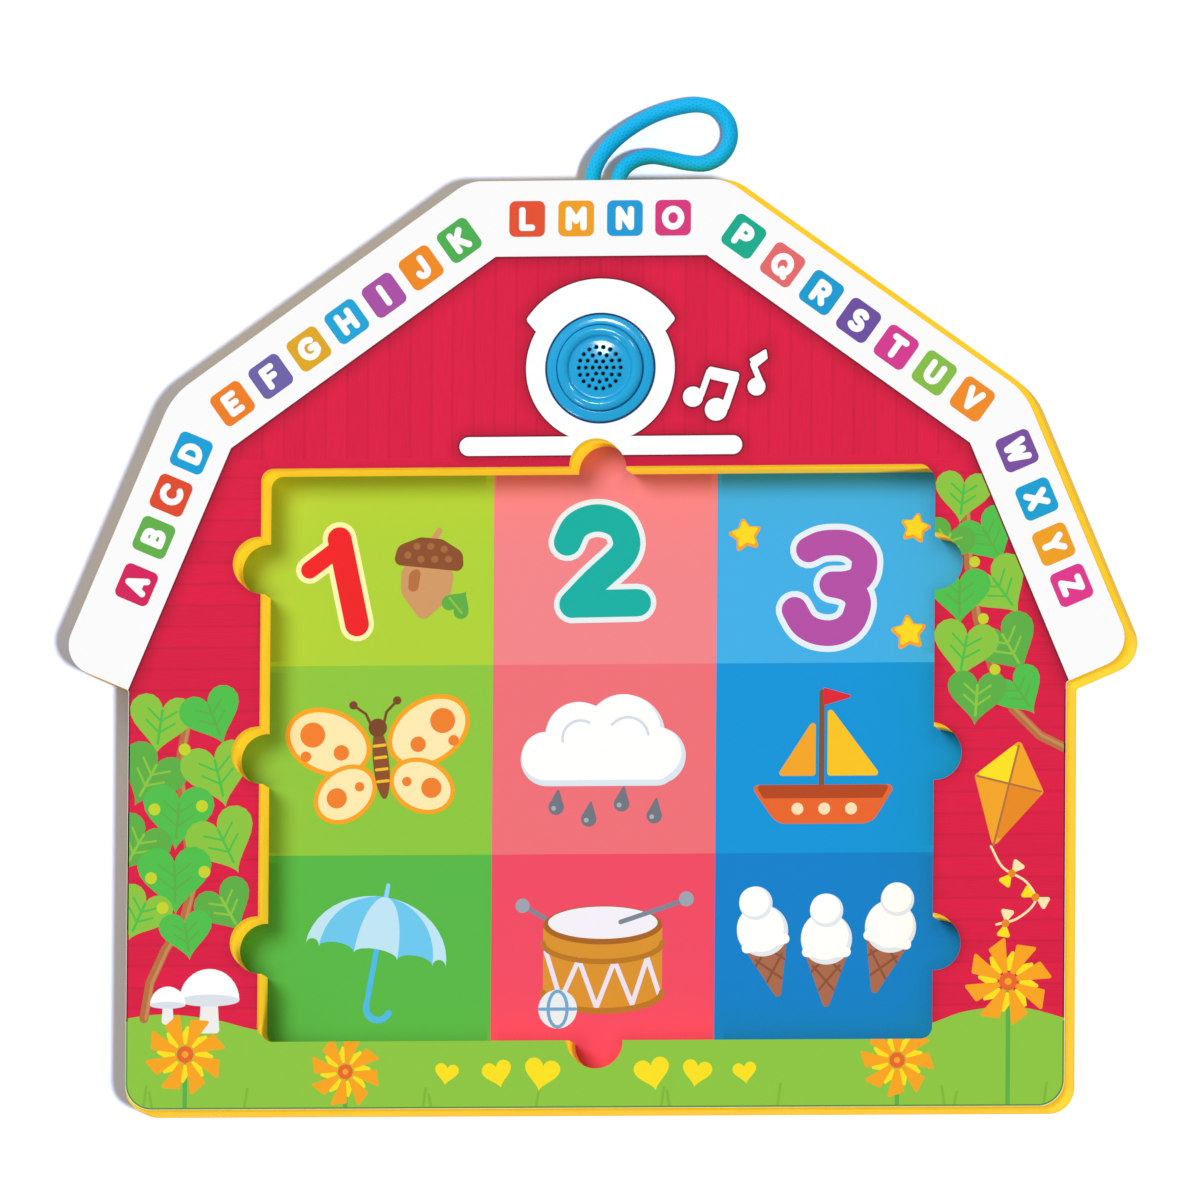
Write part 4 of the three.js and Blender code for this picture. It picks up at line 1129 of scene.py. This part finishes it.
for x, y in ((-14, -17), (-3, -21), (8, -16), (19, -20)):
    tip = rounded([(x - 2.4, y + 0.9, 0.3), (x + 2.4, y + 0.9, 0.3), (x + 0.8, y + 6.5, 0.4)], step=30)
    cloud += [(oval(x, y, 2.6), "#6F7680"), (tip, "#6F7680"), (oval(x - 0.8, y - 0.4, 0.8), "#A9B0B8")]
boat = [
    (bar(0, -8, 0, 23, 1.8), "#8A4F2B"),
    (softened([(2, -5), (20, -5), (2, 19)], 1), "#F9C51B"),
    (softened([(-2, -5), (-15, -5), (-2, 15)], 1), "#F5A623"),
    (rounded([(0.6, 18.5, 0.3), (11, 21.5, 0.5), (0.6, 24.5, 0.3)], step=20), "#E02434"),
    (rounded([(-24, -8, 1.5), (25, -8, 1.5), (17, -21, 6), (-15, -21, 6)], step=12), "#E9662A"),
    (softened([(-22, -8), (23, -8), (20.5, -12.5), (-19.5, -12.5)], 1), "#B4471C"),
]
boat += [(oval(x, -16, 2.0), "#FBE3B8") for x in (-8, 1, 10)]
umbrella = [(bar(0, -20, 0, 20, 1.8), "#4DBBEF"), (bar(0, 18, 0, 22, 1.4), "#8FD6F7")]
umbrella += strokes(arc_points(4, -19, 4, 4, 180, 345, 10), 2.2, "#4DBBEF")
panels = 5
spokes = [24 * math.cos(math.pi * k / panels) for k in range(panels + 1)]
for k, (left, right) in enumerate(zip(spokes, spokes[1:])):
    panel = arc_points(0, -2, left, 20, 0, 90, 10) + arc_points(0, -2, right, 20, 90, 0, 10)
    panel += arc_points((left + right) / 2, -2, (left - right) / 2, 2.4, 180, 0, 8)[1:-1]
    umbrella.append(([Vector(p) for p in panel], ("#BFE6F8", "#6CC9F2")[k % 2]))
drum = [
    (bar(-26, 14, -8, 4, 1.5), "#7C8796"), (oval(-27, 14.6, 2.4), "#9AA4B2"),
    ([Vector(p) for p in [(-20, 7), (20, 7), (20, -15)] + arc_points(0, -15, 20, 6, 0, -180, 16)],
     "#D9932B"),
    (oval(0, 8, 20, 6.5), "#A8641B"), (oval(0, 8.8, 18.4, 5.4), "#F4F1FA"),
]
drum += strokes([(-19, -1), (-14, -17), (-8, -3.5), (-2, -19.5), (4, -4), (10, -18.5), (15, -3),
                 (19, -15)], 1.6, "#E9E4F6")
drum += strokes(arc_points(0, 2, 20, 6.2, 180, 360, 16), 1.8, "#B9761F")
drum += strokes(arc_points(0, -14.5, 20, 6.2, 180, 360, 16), 2.0, "#B9761F")
drum += [(bar(27, 16, 6, 9, 1.6), "#7C8796"), (oval(28, 16.6, 2.5), "#9AA4B2"),
         (oval(-15, -20, 6.5), "#E4EFF8")]
for line in (arc_points(-15, -20, 3.2, 6, 90, 270, 10), arc_points(-15, -20, 3.2, 6, -90, 90, 10),
             [(-21, -20), (-9, -20)]):
    drum += strokes(line, 1.1, "#6CA6DA")
cones = []
for x, y, tilt in ((-20, 0, 14), (20, 1, -14), (0, -3, 0)):
    cone = [
        (rounded([(-7.5, 2, 1), (0, -19, 1.2), (7.5, 2, 1)], step=20), "#A8694C"),
        (bar(-4.5, -3, 2.5, -11, 0.8), "#8A5238"), (bar(4.5, -3, -2.5, -11, 0.8), "#8A5238"),
        (bar(-1, 1, 5, -5, 0.8), "#8A5238"), (bar(1, 1, -5, -5, 0.8), "#8A5238"),
        (oval(0, 6, 8.6), "#E3EAF0"), (oval(-0.5, 6.9, 7.9), white),
        (bar(-6.5, 1.6, 6.5, 1.6, 3.4), white), (oval(0, 15.5, 5.6), "#E3EAF0"),
        (oval(-0.4, 16.1, 5), white),
    ]
    cones += moved(cone, x, y, tilt)
columns = [tray_left + column_width * (k + 0.5) for k in range(3)]
low_row, middle_row, high_row = middle_rows
pictures = moved(acorn, -60, 24, -6, size=0.92) + moved(stars, columns[2] + 1, high_row - 1)
pictures += moved(butterfly, columns[0], middle_row, 6) + moved(cloud, columns[1] - 2, middle_row + 1)
pictures += moved(boat, columns[2] - 2, middle_row - 1) + moved(umbrella, columns[0] - 1, low_row, -10)
pictures += moved(drum, columns[1], low_row) + moved(cones, columns[2], low_row)
pictures_print = slab("tray_pictures_print", pictures, floor_level, floor_level + ink_step)
show(pictures_print, satin_print, "board")
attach(pictures_print, "board")


# The sound module's housing: a gloss blue ABS shell in the bore, with a rounded flange on the
# print and a lip that holds the cap down. Three posts inside take the cover's screws.
def turned(name, profile, sides=128, x=0.0, y=module_y):
    """A closed solid turned from (radius, height) points in mm about an upright axis."""
    on_axis = 1e-6
    made = bmesh.new()
    rings = []
    for radius, z in profile:
        if radius < on_axis:
            rings.append([made.verts.new(Vector((x, y, z)) * MM)] * sides)
            continue
        angles = [2 * math.pi * k / sides for k in range(sides)]
        rings.append([made.verts.new(Vector((x + radius * math.cos(a), y + radius * math.sin(a), z))
                                     * MM) for a in angles])
    closed = rings + rings[:1] if profile[0][0] > on_axis else rings
    for a, b in zip(closed, closed[1:]):
        for k in range(sides):
            corners = [a[k], a[k - 1], b[k - 1], b[k]]
            corners = [v for i, v in enumerate(corners) if v not in corners[:i]]
            if len(corners) > 2:
                made.faces.new(corners)
    bmesh.ops.recalc_face_normals(made, faces=made.faces)
    mesh = bpy.data.meshes.new(name)
    made.to_mesh(mesh)
    made.free()
    return bpy.data.objects.new(name, mesh)


def quarter(r, z, radius, first, last, pieces=6):
    """A rounded edge of a turned profile about its own centre, angles in degrees."""
    return arc_points(r, z, radius, radius, first, last, pieces)


def smooth(piece, angle=30):
    """Smooth shading, with edges sharper than the angle left crisp."""
    piece.data.shade_smooth()
    piece.data.set_sharp_from_angle(angle=math.radians(angle))


front_z = film_z[1]
flange_radius = 17.85
flange_top = 19.05
lip_radius = 14.6
housing_inner = 15.5
housing_radius = 16.6
cover_top = board_z[1]
post_circle = 13.6
post_radius = 2.3
post_top = 12.0
screw_hole = 1.2
screw_hole_top = post_top - 2.2
flange_crown = 0.65
lip_round = 0.3


def round_the_module(circle, angles):
    """Places on a circle about the module's axis, angles in degrees."""
    turns = [math.radians(angle) for angle in angles]
    return [(circle * math.cos(a), module_y + circle * math.sin(a)) for a in turns]


post_places = round_the_module(post_circle, (150, 270, 30))
housing = turned("module_housing_shell", [
    (housing_inner, cover_top), (housing_radius, cover_top), (housing_radius, front_z),
    (flange_radius, front_z),
    *arc_points(lip_radius + lip_round, flange_top - flange_crown,
                flange_radius - lip_radius - lip_round, flange_crown, 0, 90, 14),
    *quarter(lip_radius + lip_round, flange_top - lip_round, lip_round, 90, 180),
    (lip_radius, front_z), (housing_inner, front_z)])


def pin(radius, bottom, top, x, y, sides):
    """A plain upright pin, to join or to cut with."""
    return turned("tool", [(0, bottom), (radius, bottom), (radius, top), (0, top)], sides, x, y)


posts = [pin(post_radius, cover_top, post_top, x, y, sides=48) for x, y in post_places]
pilots = [pin(screw_hole, cover_top - overshoot, screw_hole_top, x, y, sides=32)
          for x, y in post_places]
combine(housing, pilots, posts)
smooth(housing)
# Injection-moulded ABS, polished mould: a high gloss with a very slight waviness.
gloss_abs, tree, shader, place = start_material("gloss_moulded_abs", "#00A0DC", roughness=0.13,
                                                ior=1.53, gloss=0.25)
waves = add(tree, "TexNoise", {"Vector": place, "Scale": 1 / 6, "Detail": 2})
fine = add(tree, "TexNoise", {"Vector": place, "Scale": 1 / 0.5, "Detail": 3})
add(tree, "Mix", {0: fine, 6: from_hex("#00A0D8"), 7: from_hex("#00AEE4")},
    shader.inputs["Base Color"], data_type="RGBA")
add(tree, "Bump", {"Height": waves, "Distance": 0.04 * MM}, shader.inputs["Normal"])
show(housing, gloss_abs, "button")
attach(housing, "board")
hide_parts("module_housing")

# The press cap: moulded in the same ABS, with a raised round ring to push, a groove and a domed
# grille of 37 holes inside it. A shoulder under the lip holds it, and a leg reaches to the contact.
cap_radius = 14.3
cap_wall = 1.2
ring_inner = 10.6
ring_top = 21.05
ring_middle = (cap_radius + ring_inner) / 2
ring_crown = 1.4
groove_z = 19.55
groove_round = 0.45
groove_inner = 9.1
dome_top = 20.15
shoulder_radius = 15.2
shoulder_z = (16.95, 17.95)
cap_inner = 13.1
dome_steps = 12


def dome_height(radius):
    """The dome's height at a radius."""
    return dome_top - (dome_top - groove_z) * (radius / groove_inner) ** 2


dome_radii = [groove_inner * (1 - k / dome_steps) for k in range(dome_steps + 1)]
cap = turned("button_cap_press", [
    *[(r, dome_height(r) - cap_wall) for r in dome_radii[::-1]],
    (ring_inner, groove_z - cap_wall), (ring_inner + cap_wall, ring_top - cap_wall),
    (cap_inner, ring_top - cap_wall), (cap_inner, shoulder_z[0]), (shoulder_radius, shoulder_z[0]),
    (shoulder_radius, shoulder_z[1]), (cap_radius, shoulder_z[1]),
    *arc_points(ring_middle, ring_top - ring_crown, cap_radius - ring_middle, ring_crown, 0, 165, 28),
    *quarter(ring_inner - groove_round, groove_z + groove_round, groove_round, 0, -90, 5),
    *[(r, dome_height(r)) for r in dome_radii]])
hole_radius = 0.65
hole_flare = 0.22
hole_depth = 2
hole_pitch = 2.35
hole_rings = 3
hole_places = [(0.0, 0.0)]
for ring in range(1, hole_rings + 1):
    hole_places += [(ring * hole_pitch * math.cos(a), ring * hole_pitch * math.sin(a))
                    for a in (2 * math.pi * k / (6 * ring) for k in range(6 * ring))]
drills = []
for x, y in hole_places:
    rim = dome_height(math.hypot(x, y))
    drills.append(turned("tool", [
        (0, rim - hole_depth), (hole_radius, rim - hole_depth), (hole_radius, rim - hole_flare),
        (hole_radius + 2 * hole_flare, rim + hole_flare), (0, rim + hole_flare)],
        sides=20, x=x, y=module_y + y))
drill = drills[0]
gathered = bmesh.new()
for tool in drills:
    gathered.from_mesh(tool.data)
gathered.to_mesh(drill.data)
gathered.free()
for tool in drills[1:]:
    bpy.data.objects.remove(tool)
leg_middle = module_y + 11.7
leg_half = (1.2, 1.1)
leg_z = (12.1, 19.95)
leg = upright_block(-leg_half[0], leg_middle - leg_half[1], leg_half[0], leg_middle + leg_half[1], *leg_z)
combine(cap, [drill], [leg])
smooth(cap)
cap.data.materials.clear()
show(cap, gloss_abs, "button")
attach(cap, "press_button")
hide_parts("button_cap")

# The contact pill: a small disc of carbon-filled silicone, moulded on its own and glued to the
# leg's end. It bridges the two halves of the contact pad when the cap is pressed.
def disc(name, radius, bottom, top, edge, y=module_y):
    """A disc with rounded rims."""
    return turned(name, [(0, bottom), *quarter(radius - edge, bottom + edge, edge, -90, 0, 4),
                         *quarter(radius - edge, top - edge, edge, 0, 90, 4), (0, top)], sides=64, y=y)


pill_height = 0.8
pill = disc("contact_pill_rubber", 1.1, leg_z[0] - pill_height, leg_z[0], edge=0.12, y=leg_middle)
smooth(pill)
# Moulded silicone full of carbon: dull black, faintly speckled.
carbon_rubber, tree, shader, place = start_material("carbon_silicone", "#1E2023", roughness=0.7,
                                                    ior=1.43)
speck = add(tree, "TexNoise", {"Vector": place, "Scale": 1 / 0.12, "Detail": 3})
add(tree, "Mix", {0: speck, 6: from_hex("#17181B"), 7: from_hex("#2B2D31")},
    shader.inputs["Base Color"], data_type="RGBA")
add(tree, "Bump", {"Height": speck, "Distance": 0.02 * MM}, shader.inputs["Normal"])
show(pill, carbon_rubber, "button")
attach(pill, "press_button")
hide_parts("contact_pill")

# The return spring: 0.6 mm spring-steel wire, wound in two and a half turns with its ends laid
# flat. It stands on the speaker's carrier under the cap's shoulder, and shortens as that comes down.
def start_steel(name, colour, roughness, scratch=0.15):
    """A plated steel with fine marks of that width in mm, which run one way."""
    material, tree, shader, place = start_material(name, colour, roughness, metallic=1.0)
    scratch_length = 20 * scratch
    stretched = add(tree, "VectorMath",
                    {0: place, 1: (1 / scratch, 1 / scratch_length, 1 / scratch)}, operation="MULTIPLY")
    marks = add(tree, "TexNoise", {"Vector": stretched, "Detail": 2})
    add(tree, "MapRange",
        {"Value": marks, "To Min": roughness - 0.08, "To Max": roughness + 0.1},
        shader.inputs["Roughness"])
    add(tree, "Bump", {"Height": marks, "Distance": 0.006 * MM}, shader.inputs["Normal"])
    return material


# Nickel on steel: bright, slightly warm, with fine drawing marks.
nickel_steel = start_steel("nickel_plated_steel", "#BFBDB8", roughness=0.28)
spring_radius = (cap_inner + shoulder_radius) / 2
spring_wire = 0.3
spring_turns = 2.5
spring_steps = 160
spring_flat = 0.3
spring_seat = 13.06
seat_gap = 0.06
spring_low = spring_seat + spring_wire
spring_high = shoulder_z[0] - seat_gap - spring_wire
spring_path = []
for k in range(spring_steps + 1):
    turned_by = spring_turns * k / spring_steps
    risen = min(max((turned_by - spring_flat) / (spring_turns - 2 * spring_flat), 0), 1)
    angle = 2 * math.pi * turned_by
    spring_path.append(Vector((spring_radius * math.cos(angle), module_y + spring_radius * math.sin(angle),
                               spring_low + (spring_high - spring_low) * risen)))
spring = round_tube("return_spring_coil", spring_path, spring_wire, sides=20)
show(spring, nickel_steel, "button")
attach(spring, "board")
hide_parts("return_spring")
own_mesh(spring)

# The speaker's carrier: a flat ring moulded in white ABS, which lies on the housing's posts and
# holds the speaker by its rim. A window in it lets the cap's leg through to the contact.
basket_radius = 8.3
basket_gap = 0.3
leg_gap = 0.4
carrier_z = (12.0, 13.0)
module_disc = oval(0, module_y, 15.2, points=128)
window = block(-leg_half[0] - leg_gap, leg_middle - leg_half[1] - leg_gap, leg_half[0] + leg_gap,
               leg_middle + leg_half[1] + leg_gap, radius=0.3)
carrier = slab("speaker_carrier_ring", [(module_disc, white)], *carrier_z,
               cut=[oval(0, module_y, basket_radius + basket_gap, points=96), window])
round_edges(carrier, width=0.12, segments=2)
# Moulded ABS, left natural: a warm white with a fine spark-eroded grain of 0.1 mm, drawn 0.2 mm
# wide so that it shows.
plain_abs, tree, shader, place = start_material("natural_moulded_abs", "#E9E7E0", roughness=0.42,
                                                ior=1.53, gloss=0.3)
grain = add(tree, "TexNoise", {"Vector": place, "Scale": 1 / 0.2, "Detail": 2})
flow = add(tree, "TexNoise", {"Vector": place, "Scale": 1 / 7, "Detail": 2})
add(tree, "Mix", {0: flow, 6: from_hex("#E2E0D8"), 7: from_hex("#EFEDE7")},
    shader.inputs["Base Color"], data_type="RGBA")
add(tree, "Bump", {"Height": grain, "Distance": 0.02 * MM}, shader.inputs["Normal"])
show(carrier, plain_abs, "button")
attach(carrier, "board")
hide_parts("speaker_carrier")

# The speaker: a 20 mm basket pressed from nickel-plated sheet steel, whose rolled rim is glued to
# the carrier, and a round magnet glued under its middle.
carrier_top = carrier_z[1]
basket_depth = 0.6
basket_slope = 0.6
basket_sheet = 0.5
basket_z = carrier_top - basket_depth
rim_radius = 10.0
rim_round = 0.25
speaker_top = carrier_top + 1.2
ledge_z = carrier_top + 0.6
ledge_radius = rim_radius - 0.7
ledge_gap = 0.3
ledge_width = 0.6
basket = turned("speaker_basket_pressing", [
    (0, basket_z), (basket_radius - basket_slope, basket_z), (basket_radius, carrier_top),
    (rim_radius, carrier_top),
    *quarter(rim_radius - rim_round, speaker_top - rim_round, rim_round, 0, 90, 4),
    (ledge_radius + ledge_gap, speaker_top), (ledge_radius + ledge_gap, ledge_z),
    (ledge_radius - ledge_width, ledge_z),
    (basket_radius - basket_slope - basket_sheet, basket_z + basket_sheet),
    (0, basket_z + basket_sheet)], sides=96)
smooth(basket)
magnet_radius = 4.5
magnet_height = 1.5
magnet = disc("speaker_magnet_disc", magnet_radius, basket_z - magnet_height, basket_z, edge=0.2)
smooth(magnet)
# Neodymium, nickel plated: a darker mirror than the steel round it.
magnet_nickel = start_steel("nickel_plated_magnet", "#9A9BA0", roughness=0.2, scratch=0.4)
for piece, finish, node in ((basket, nickel_steel, "speaker_basket"),
                            (magnet, magnet_nickel, "speaker_magnet")):
    show(piece, finish, "button")
    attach(piece, "board")
    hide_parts(node)

# The cone: black paper pulp, pressed in one piece with a half-round roll near its edge and a dust
# cap in its middle, and glued to the basket's ledge.
roll_outer = ledge_radius - ledge_width
roll_inner = roll_outer - 1.5
roll_steps = 10
cap_steps = 8
roll_height = 0.45
dust_radius = 3.0
dust_rise = 0.5
cone_thickness = 0.25
skin = [(dust_radius * k / cap_steps, ledge_z + dust_rise * (1 - (k / cap_steps) ** 2))
        for k in range(cap_steps + 1)]
skin += [(roll_inner + (roll_outer - roll_inner) * k / roll_steps,
          ledge_z + roll_height * math.sin(math.pi * k / roll_steps)) for k in range(roll_steps + 1)]
skin.append((ledge_radius, ledge_z))
cone = turned("speaker_cone_paper", skin + [(r, z + cone_thickness) for r, z in skin[::-1]],
              sides=96)
smooth(cone, angle=50)
# Pressed paper pulp: matt, with short fibres 0.1 mm thick, drawn 0.2 mm thick so that they show.
pulp, tree, shader, place = start_material("pressed_black_paper", "#232528", roughness=0.9,
                                           ior=1.47, gloss=0.2)
fibre = add(tree, "TexNoise", {"Vector": place, "Scale": 1 / 0.2, "Detail": 4, "Distortion": 1.5})
add(tree, "Mix", {0: fibre, 6: from_hex("#17181A"), 7: from_hex("#34373B")},
    shader.inputs["Base Color"], data_type="RGBA")
add(tree, "Bump", {"Height": fibre, "Distance": 0.04 * MM}, shader.inputs["Normal"])
show(cone, pulp, "button")
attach(cone, "board")
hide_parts("speaker_cone")

# The two speaker leads: stranded copper wire in soft PVC, one red and one black, soldered to the
# circuit board and to the basket, and bowed outwards between the two.
circuit_z = (8.4, 9.4)
lead_radius = 0.35
lead_out = module_y - 5.5
lead_bow = 0.9
solder = 0.3
lead_ends = (circuit_z[1] + solder, basket_z - solder)
for x, label, colour in ((-1.5, "red", "#C8202C"), (1.5, "black", "#1C1C1E")):
    lead_path = smooth_route([(x, lead_out, lead_ends[0]), (x, lead_out - lead_bow, sum(lead_ends) / 2),
                              (x, lead_out, lead_ends[1])], steps=16)
    lead = round_tube("speaker_lead_" + label, lead_path, lead_radius, sides=24)
    # Extruded PVC: a soft shine, slightly uneven.
    pvc, tree, shader, place = start_material("extruded_pvc_" + label, colour, roughness=0.35,
                                              ior=1.53, gloss=0.4)
    uneven = add(tree, "TexNoise", {"Vector": place, "Scale": 1 / 0.8, "Detail": 2})
    add(tree, "Bump", {"Height": uneven, "Distance": 0.03 * MM}, shader.inputs["Normal"])
    show(lead, pvc, "button")
    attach(lead, "board")
    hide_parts("speaker_wire_" + label)

# The circuit board: a round of 1 mm glass-epoxy laminate with green solder mask over its tracks. It
# is routed round the three posts, which hold it in place, and rests on the cells' upper contact.
post_gap = 0.3
post_notches = [oval(x, y, post_radius + post_gap, points=40) for x, y in post_places]
circuit = slab("circuit_board_panel", [(module_disc, white)], *circuit_z, cut=post_notches)
round_edges(circuit, width=0.05, segments=2)
# Solder mask over copper: glossy green, a paler green over the tracks, and faint in it the glass
# weave of 0.4 mm threads, two to a band of the Wave node, whose bands are 0.31 of its scale apart.
mask, tree, shader, place = start_material("solder_masked_laminate", "#1D6B3A", roughness=0.3,
                                           gloss=0.4)
tracks = add(tree, "TexVoronoi", {"Vector": place, "Scale": 1 / 2.6},
             distance="MANHATTAN", feature="F2")
near = add(tree, "TexVoronoi", {"Vector": place, "Scale": 1 / 2.6}, distance="MANHATTAN", feature="F1")
between = add(tree, "Math",
              {0: tracks.outputs["Distance"], 1: near.outputs["Distance"]}, operation="SUBTRACT")
track = add(tree, "MapRange",
            {"Value": between, "From Min": 0.1, "From Max": 0.14, "To Min": 1, "To Max": 0})
add(tree, "Mix", {0: track, 6: from_hex("#175C31"), 7: from_hex("#2E8A4E")},
    shader.inputs["Base Color"], data_type="RGBA")
weave_a = add(tree, "TexWave", {"Vector": place, "Scale": 1 / 2.5}, bands_direction="X")
weave_b = add(tree, "TexWave", {"Vector": place, "Scale": 1 / 2.5}, bands_direction="Y")
cloth = add(tree, "Math", {0: weave_a.outputs["Fac"], 1: weave_b.outputs["Fac"]})
cloth = add(tree, "Math", {0: cloth, 1: 0.2, 2: track}, operation="MULTIPLY_ADD")
add(tree, "Bump", {"Height": cloth, "Distance": 0.02 * MM}, shader.inputs["Normal"])
show(circuit, mask, "button")
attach(circuit, "board")
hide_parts("circuit_board")

# The contact pad under the pill: two half rounds etched from the circuit board's copper, with a
# slit between them, and plated with gold over nickel.
pad_radius = 1.7
pad_height = 0.1
slit_half = 0.12
slit_reach = 3
pad = slab("contact_pad_copper", [(oval(0, leg_middle, pad_radius, points=64), white)],
           circuit_z[1], circuit_z[1] + pad_height,
           cut=[block(-slit_half, leg_middle - slit_reach, slit_half, leg_middle + slit_reach)])
# Gold over nickel: a clean warm metal.
show(pad, start_steel("gold_plated_copper", "#D2A650", roughness=0.25), "button")
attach(pad, "board")
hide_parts("contact_pad")

# The sound chip: a bare silicon die, bonded to the circuit board under a drop of black epoxy resin,
# which cures as a low dome.
chip_radius = 3.0
chip_height = 1.0
chip_steps = 12
dome_power = 0.9
chip = turned("sound_chip_drop", [(0, circuit_z[1])] + [
    (chip_radius * math.cos(a), circuit_z[1] + chip_height * math.sin(a) ** dome_power)
    for a in (math.pi / 2 * k / chip_steps for k in range(chip_steps))]
    + [(0, circuit_z[1] + chip_height)], sides=64)
smooth(chip, angle=50)
# Epoxy resin, cured: a black gloss with slow waves.
resin, tree, shader, place = start_material("potting_resin", "#141517", roughness=0.18, ior=1.55)
waves = add(tree, "TexNoise", {"Vector": place, "Scale": 1 / 1.6, "Detail": 2})
add(tree, "Bump", {"Height": waves, "Distance": 0.12 * MM}, shader.inputs["Normal"])
show(chip, resin, "button")
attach(chip, "board")
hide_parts("sound_chip")

# The cells' contacts: two plates with three lobes, stamped from 0.2 mm spring steel and nickel
# plated. One lies on the back cover and one under the circuit board, with the cells between them.
plate_sheet = 0.2
lobe_radius = 4.6
hub_radius = 6.2
cell_places = round_the_module(7.6, (90, 210, 330))
lobes = [(oval(x, y, lobe_radius), white) for x, y in cell_places]
lobes.append((oval(0, module_y, hub_radius), white))
for label, bottom in (("lower", cover_top), ("upper", circuit_z[0] - plate_sheet)):
    plate = slab("contact_plate_" + label + "_stamping", lobes, bottom, bottom + plate_sheet)
    show(plate, nickel_steel, "button")
    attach(plate, "board")
    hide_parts("contact_plate_" + label)

# The holder: one block moulded in white ABS, with a round pocket for each cell. It is notched round
# the posts and held between the back cover and the circuit board.
cell_z = (2.8, 8.2)
cell_pocket_radius = 6.1
pockets = [oval(x, y, cell_pocket_radius, points=72) for x, y in cell_places]
holder = slab("battery_holder_block", [(module_disc, white)], *cell_z, cut=pockets + post_notches)
round_edges(holder, width=0.2, segments=2)
show(holder, plain_abs, "button")
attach(holder, "board")
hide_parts("battery_holder")

# The three button cells, 11.6 by 5.4 mm: each is a deep-drawn can of nickel-plated steel, crimped
# over a smaller cap. They lie loose in the holder's pockets, caps down.
low, high = cell_z
can_radius = 5.8
can_round = 0.3
crimp_round = 0.4
cell_cap_radius = 4.6
cell_cap_round = 0.2
cell_cap_height = 0.6
for number, (x, y) in enumerate(cell_places, 1):
    cell = turned(f"button_cell_{number}_can", [
        (0, low),
        *quarter(cell_cap_radius - cell_cap_round, low + cell_cap_round, cell_cap_round, -90, 0, 4),
        (cell_cap_radius, low + cell_cap_height),
        *quarter(can_radius - crimp_round, low + cell_cap_height + crimp_round, crimp_round, -90, 0),
        *quarter(can_radius - can_round, high - can_round, can_round, 0, 90, 5), (0, high)],
        sides=96, x=x, y=y)
    smooth(cell)
    show(cell, nickel_steel, "button")
    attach(cell, "board")
    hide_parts(f"button_cell_{number}")

# The back cover: a round plate moulded in white ABS and sunk a little in the back board, with three
# finger ribs and a sink for each of the screws that hold it to the housing.
cover_recess = 0.5
cover_radius = 20.5
cover_round = 0.5
rib_length = 15.0
rib_width = 1.0
rib_pitch = 3.0
rib_height = 0.3
rib_root = 0.4
head_radius = 1.9
head_height = 1.0
head_gap = 0.3
cover = turned("back_cover_plate", [
    (0, cover_recess), *quarter(cover_radius - cover_round, cover_recess + cover_round, cover_round, -90, 0),
    (cover_radius, cover_top), (0, cover_top)], sides=160)
ribs = []
for k in (-1, 0, 1):
    middle = module_y + k * rib_pitch
    outline = block(-rib_length / 2, middle - rib_width / 2, rib_length / 2, middle + rib_width / 2,
                    radius=0.45)
    ribs.append(slab("tool", [(outline, white)], cover_recess - rib_height, cover_recess + rib_root))
sink_radius = head_radius + head_gap
sink_z = cover_recess + head_height + head_gap
sinks = [turned("tool", [(0, cover_recess - overshoot), (sink_radius, cover_recess - overshoot),
                         (sink_radius, sink_z), (screw_hole, sink_z),
                         (screw_hole, cover_top + overshoot), (0, cover_top + overshoot)],
                sides=48, x=x, y=y) for x, y in post_places]
combine(cover, sinks, ribs)
cover.data.materials.clear()
round_edges(cover, width=0.1, segments=2)
show(cover, plain_abs, "button")
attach(cover, "board")
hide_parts("back_cover")

# The cover's three screws: small self-tapping pan heads of nickel-plated steel, with a cross, driven
# through the cover into the housing's posts.
head_z = cover_recess + head_gap
head_round = 0.45
shaft_z = head_z + head_height
shaft_radius = 0.9
shaft_length = 6.5
neck = 0.4
thread_pitch = 0.9
thread_depth = 0.22
thread_corners = 12
slot_length = 2.2
slot_width = 0.5
slot_depth = 0.55
thread = [(shaft_radius - (thread_depth if k % 2 else 0), shaft_z + neck + thread_pitch / 2 * k)
          for k in range(thread_corners)]
for number, (x, y) in enumerate(post_places, 1):
    screw = turned(f"cover_screw_{number}_steel", [
        (0, head_z), *quarter(head_radius - head_round, head_z + head_round, head_round, -90, 0, 5),
        (head_radius, shaft_z), (shaft_radius, shaft_z), *thread, (0, shaft_z + shaft_length)],
        sides=48, x=x, y=y)
    slots = [upright_block(x - wide / 2, y - deep / 2, x + wide / 2, y + deep / 2,
                           head_z - overshoot, head_z + slot_depth)
             for wide, deep in ((slot_length, slot_width), (slot_width, slot_length))]
    combine(screw, slots)
    smooth(screw)
    screw.data.materials.clear()
    show(screw, nickel_steel, "button")
    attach(screw, "board")
    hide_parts(f"cover_screw_{number}")
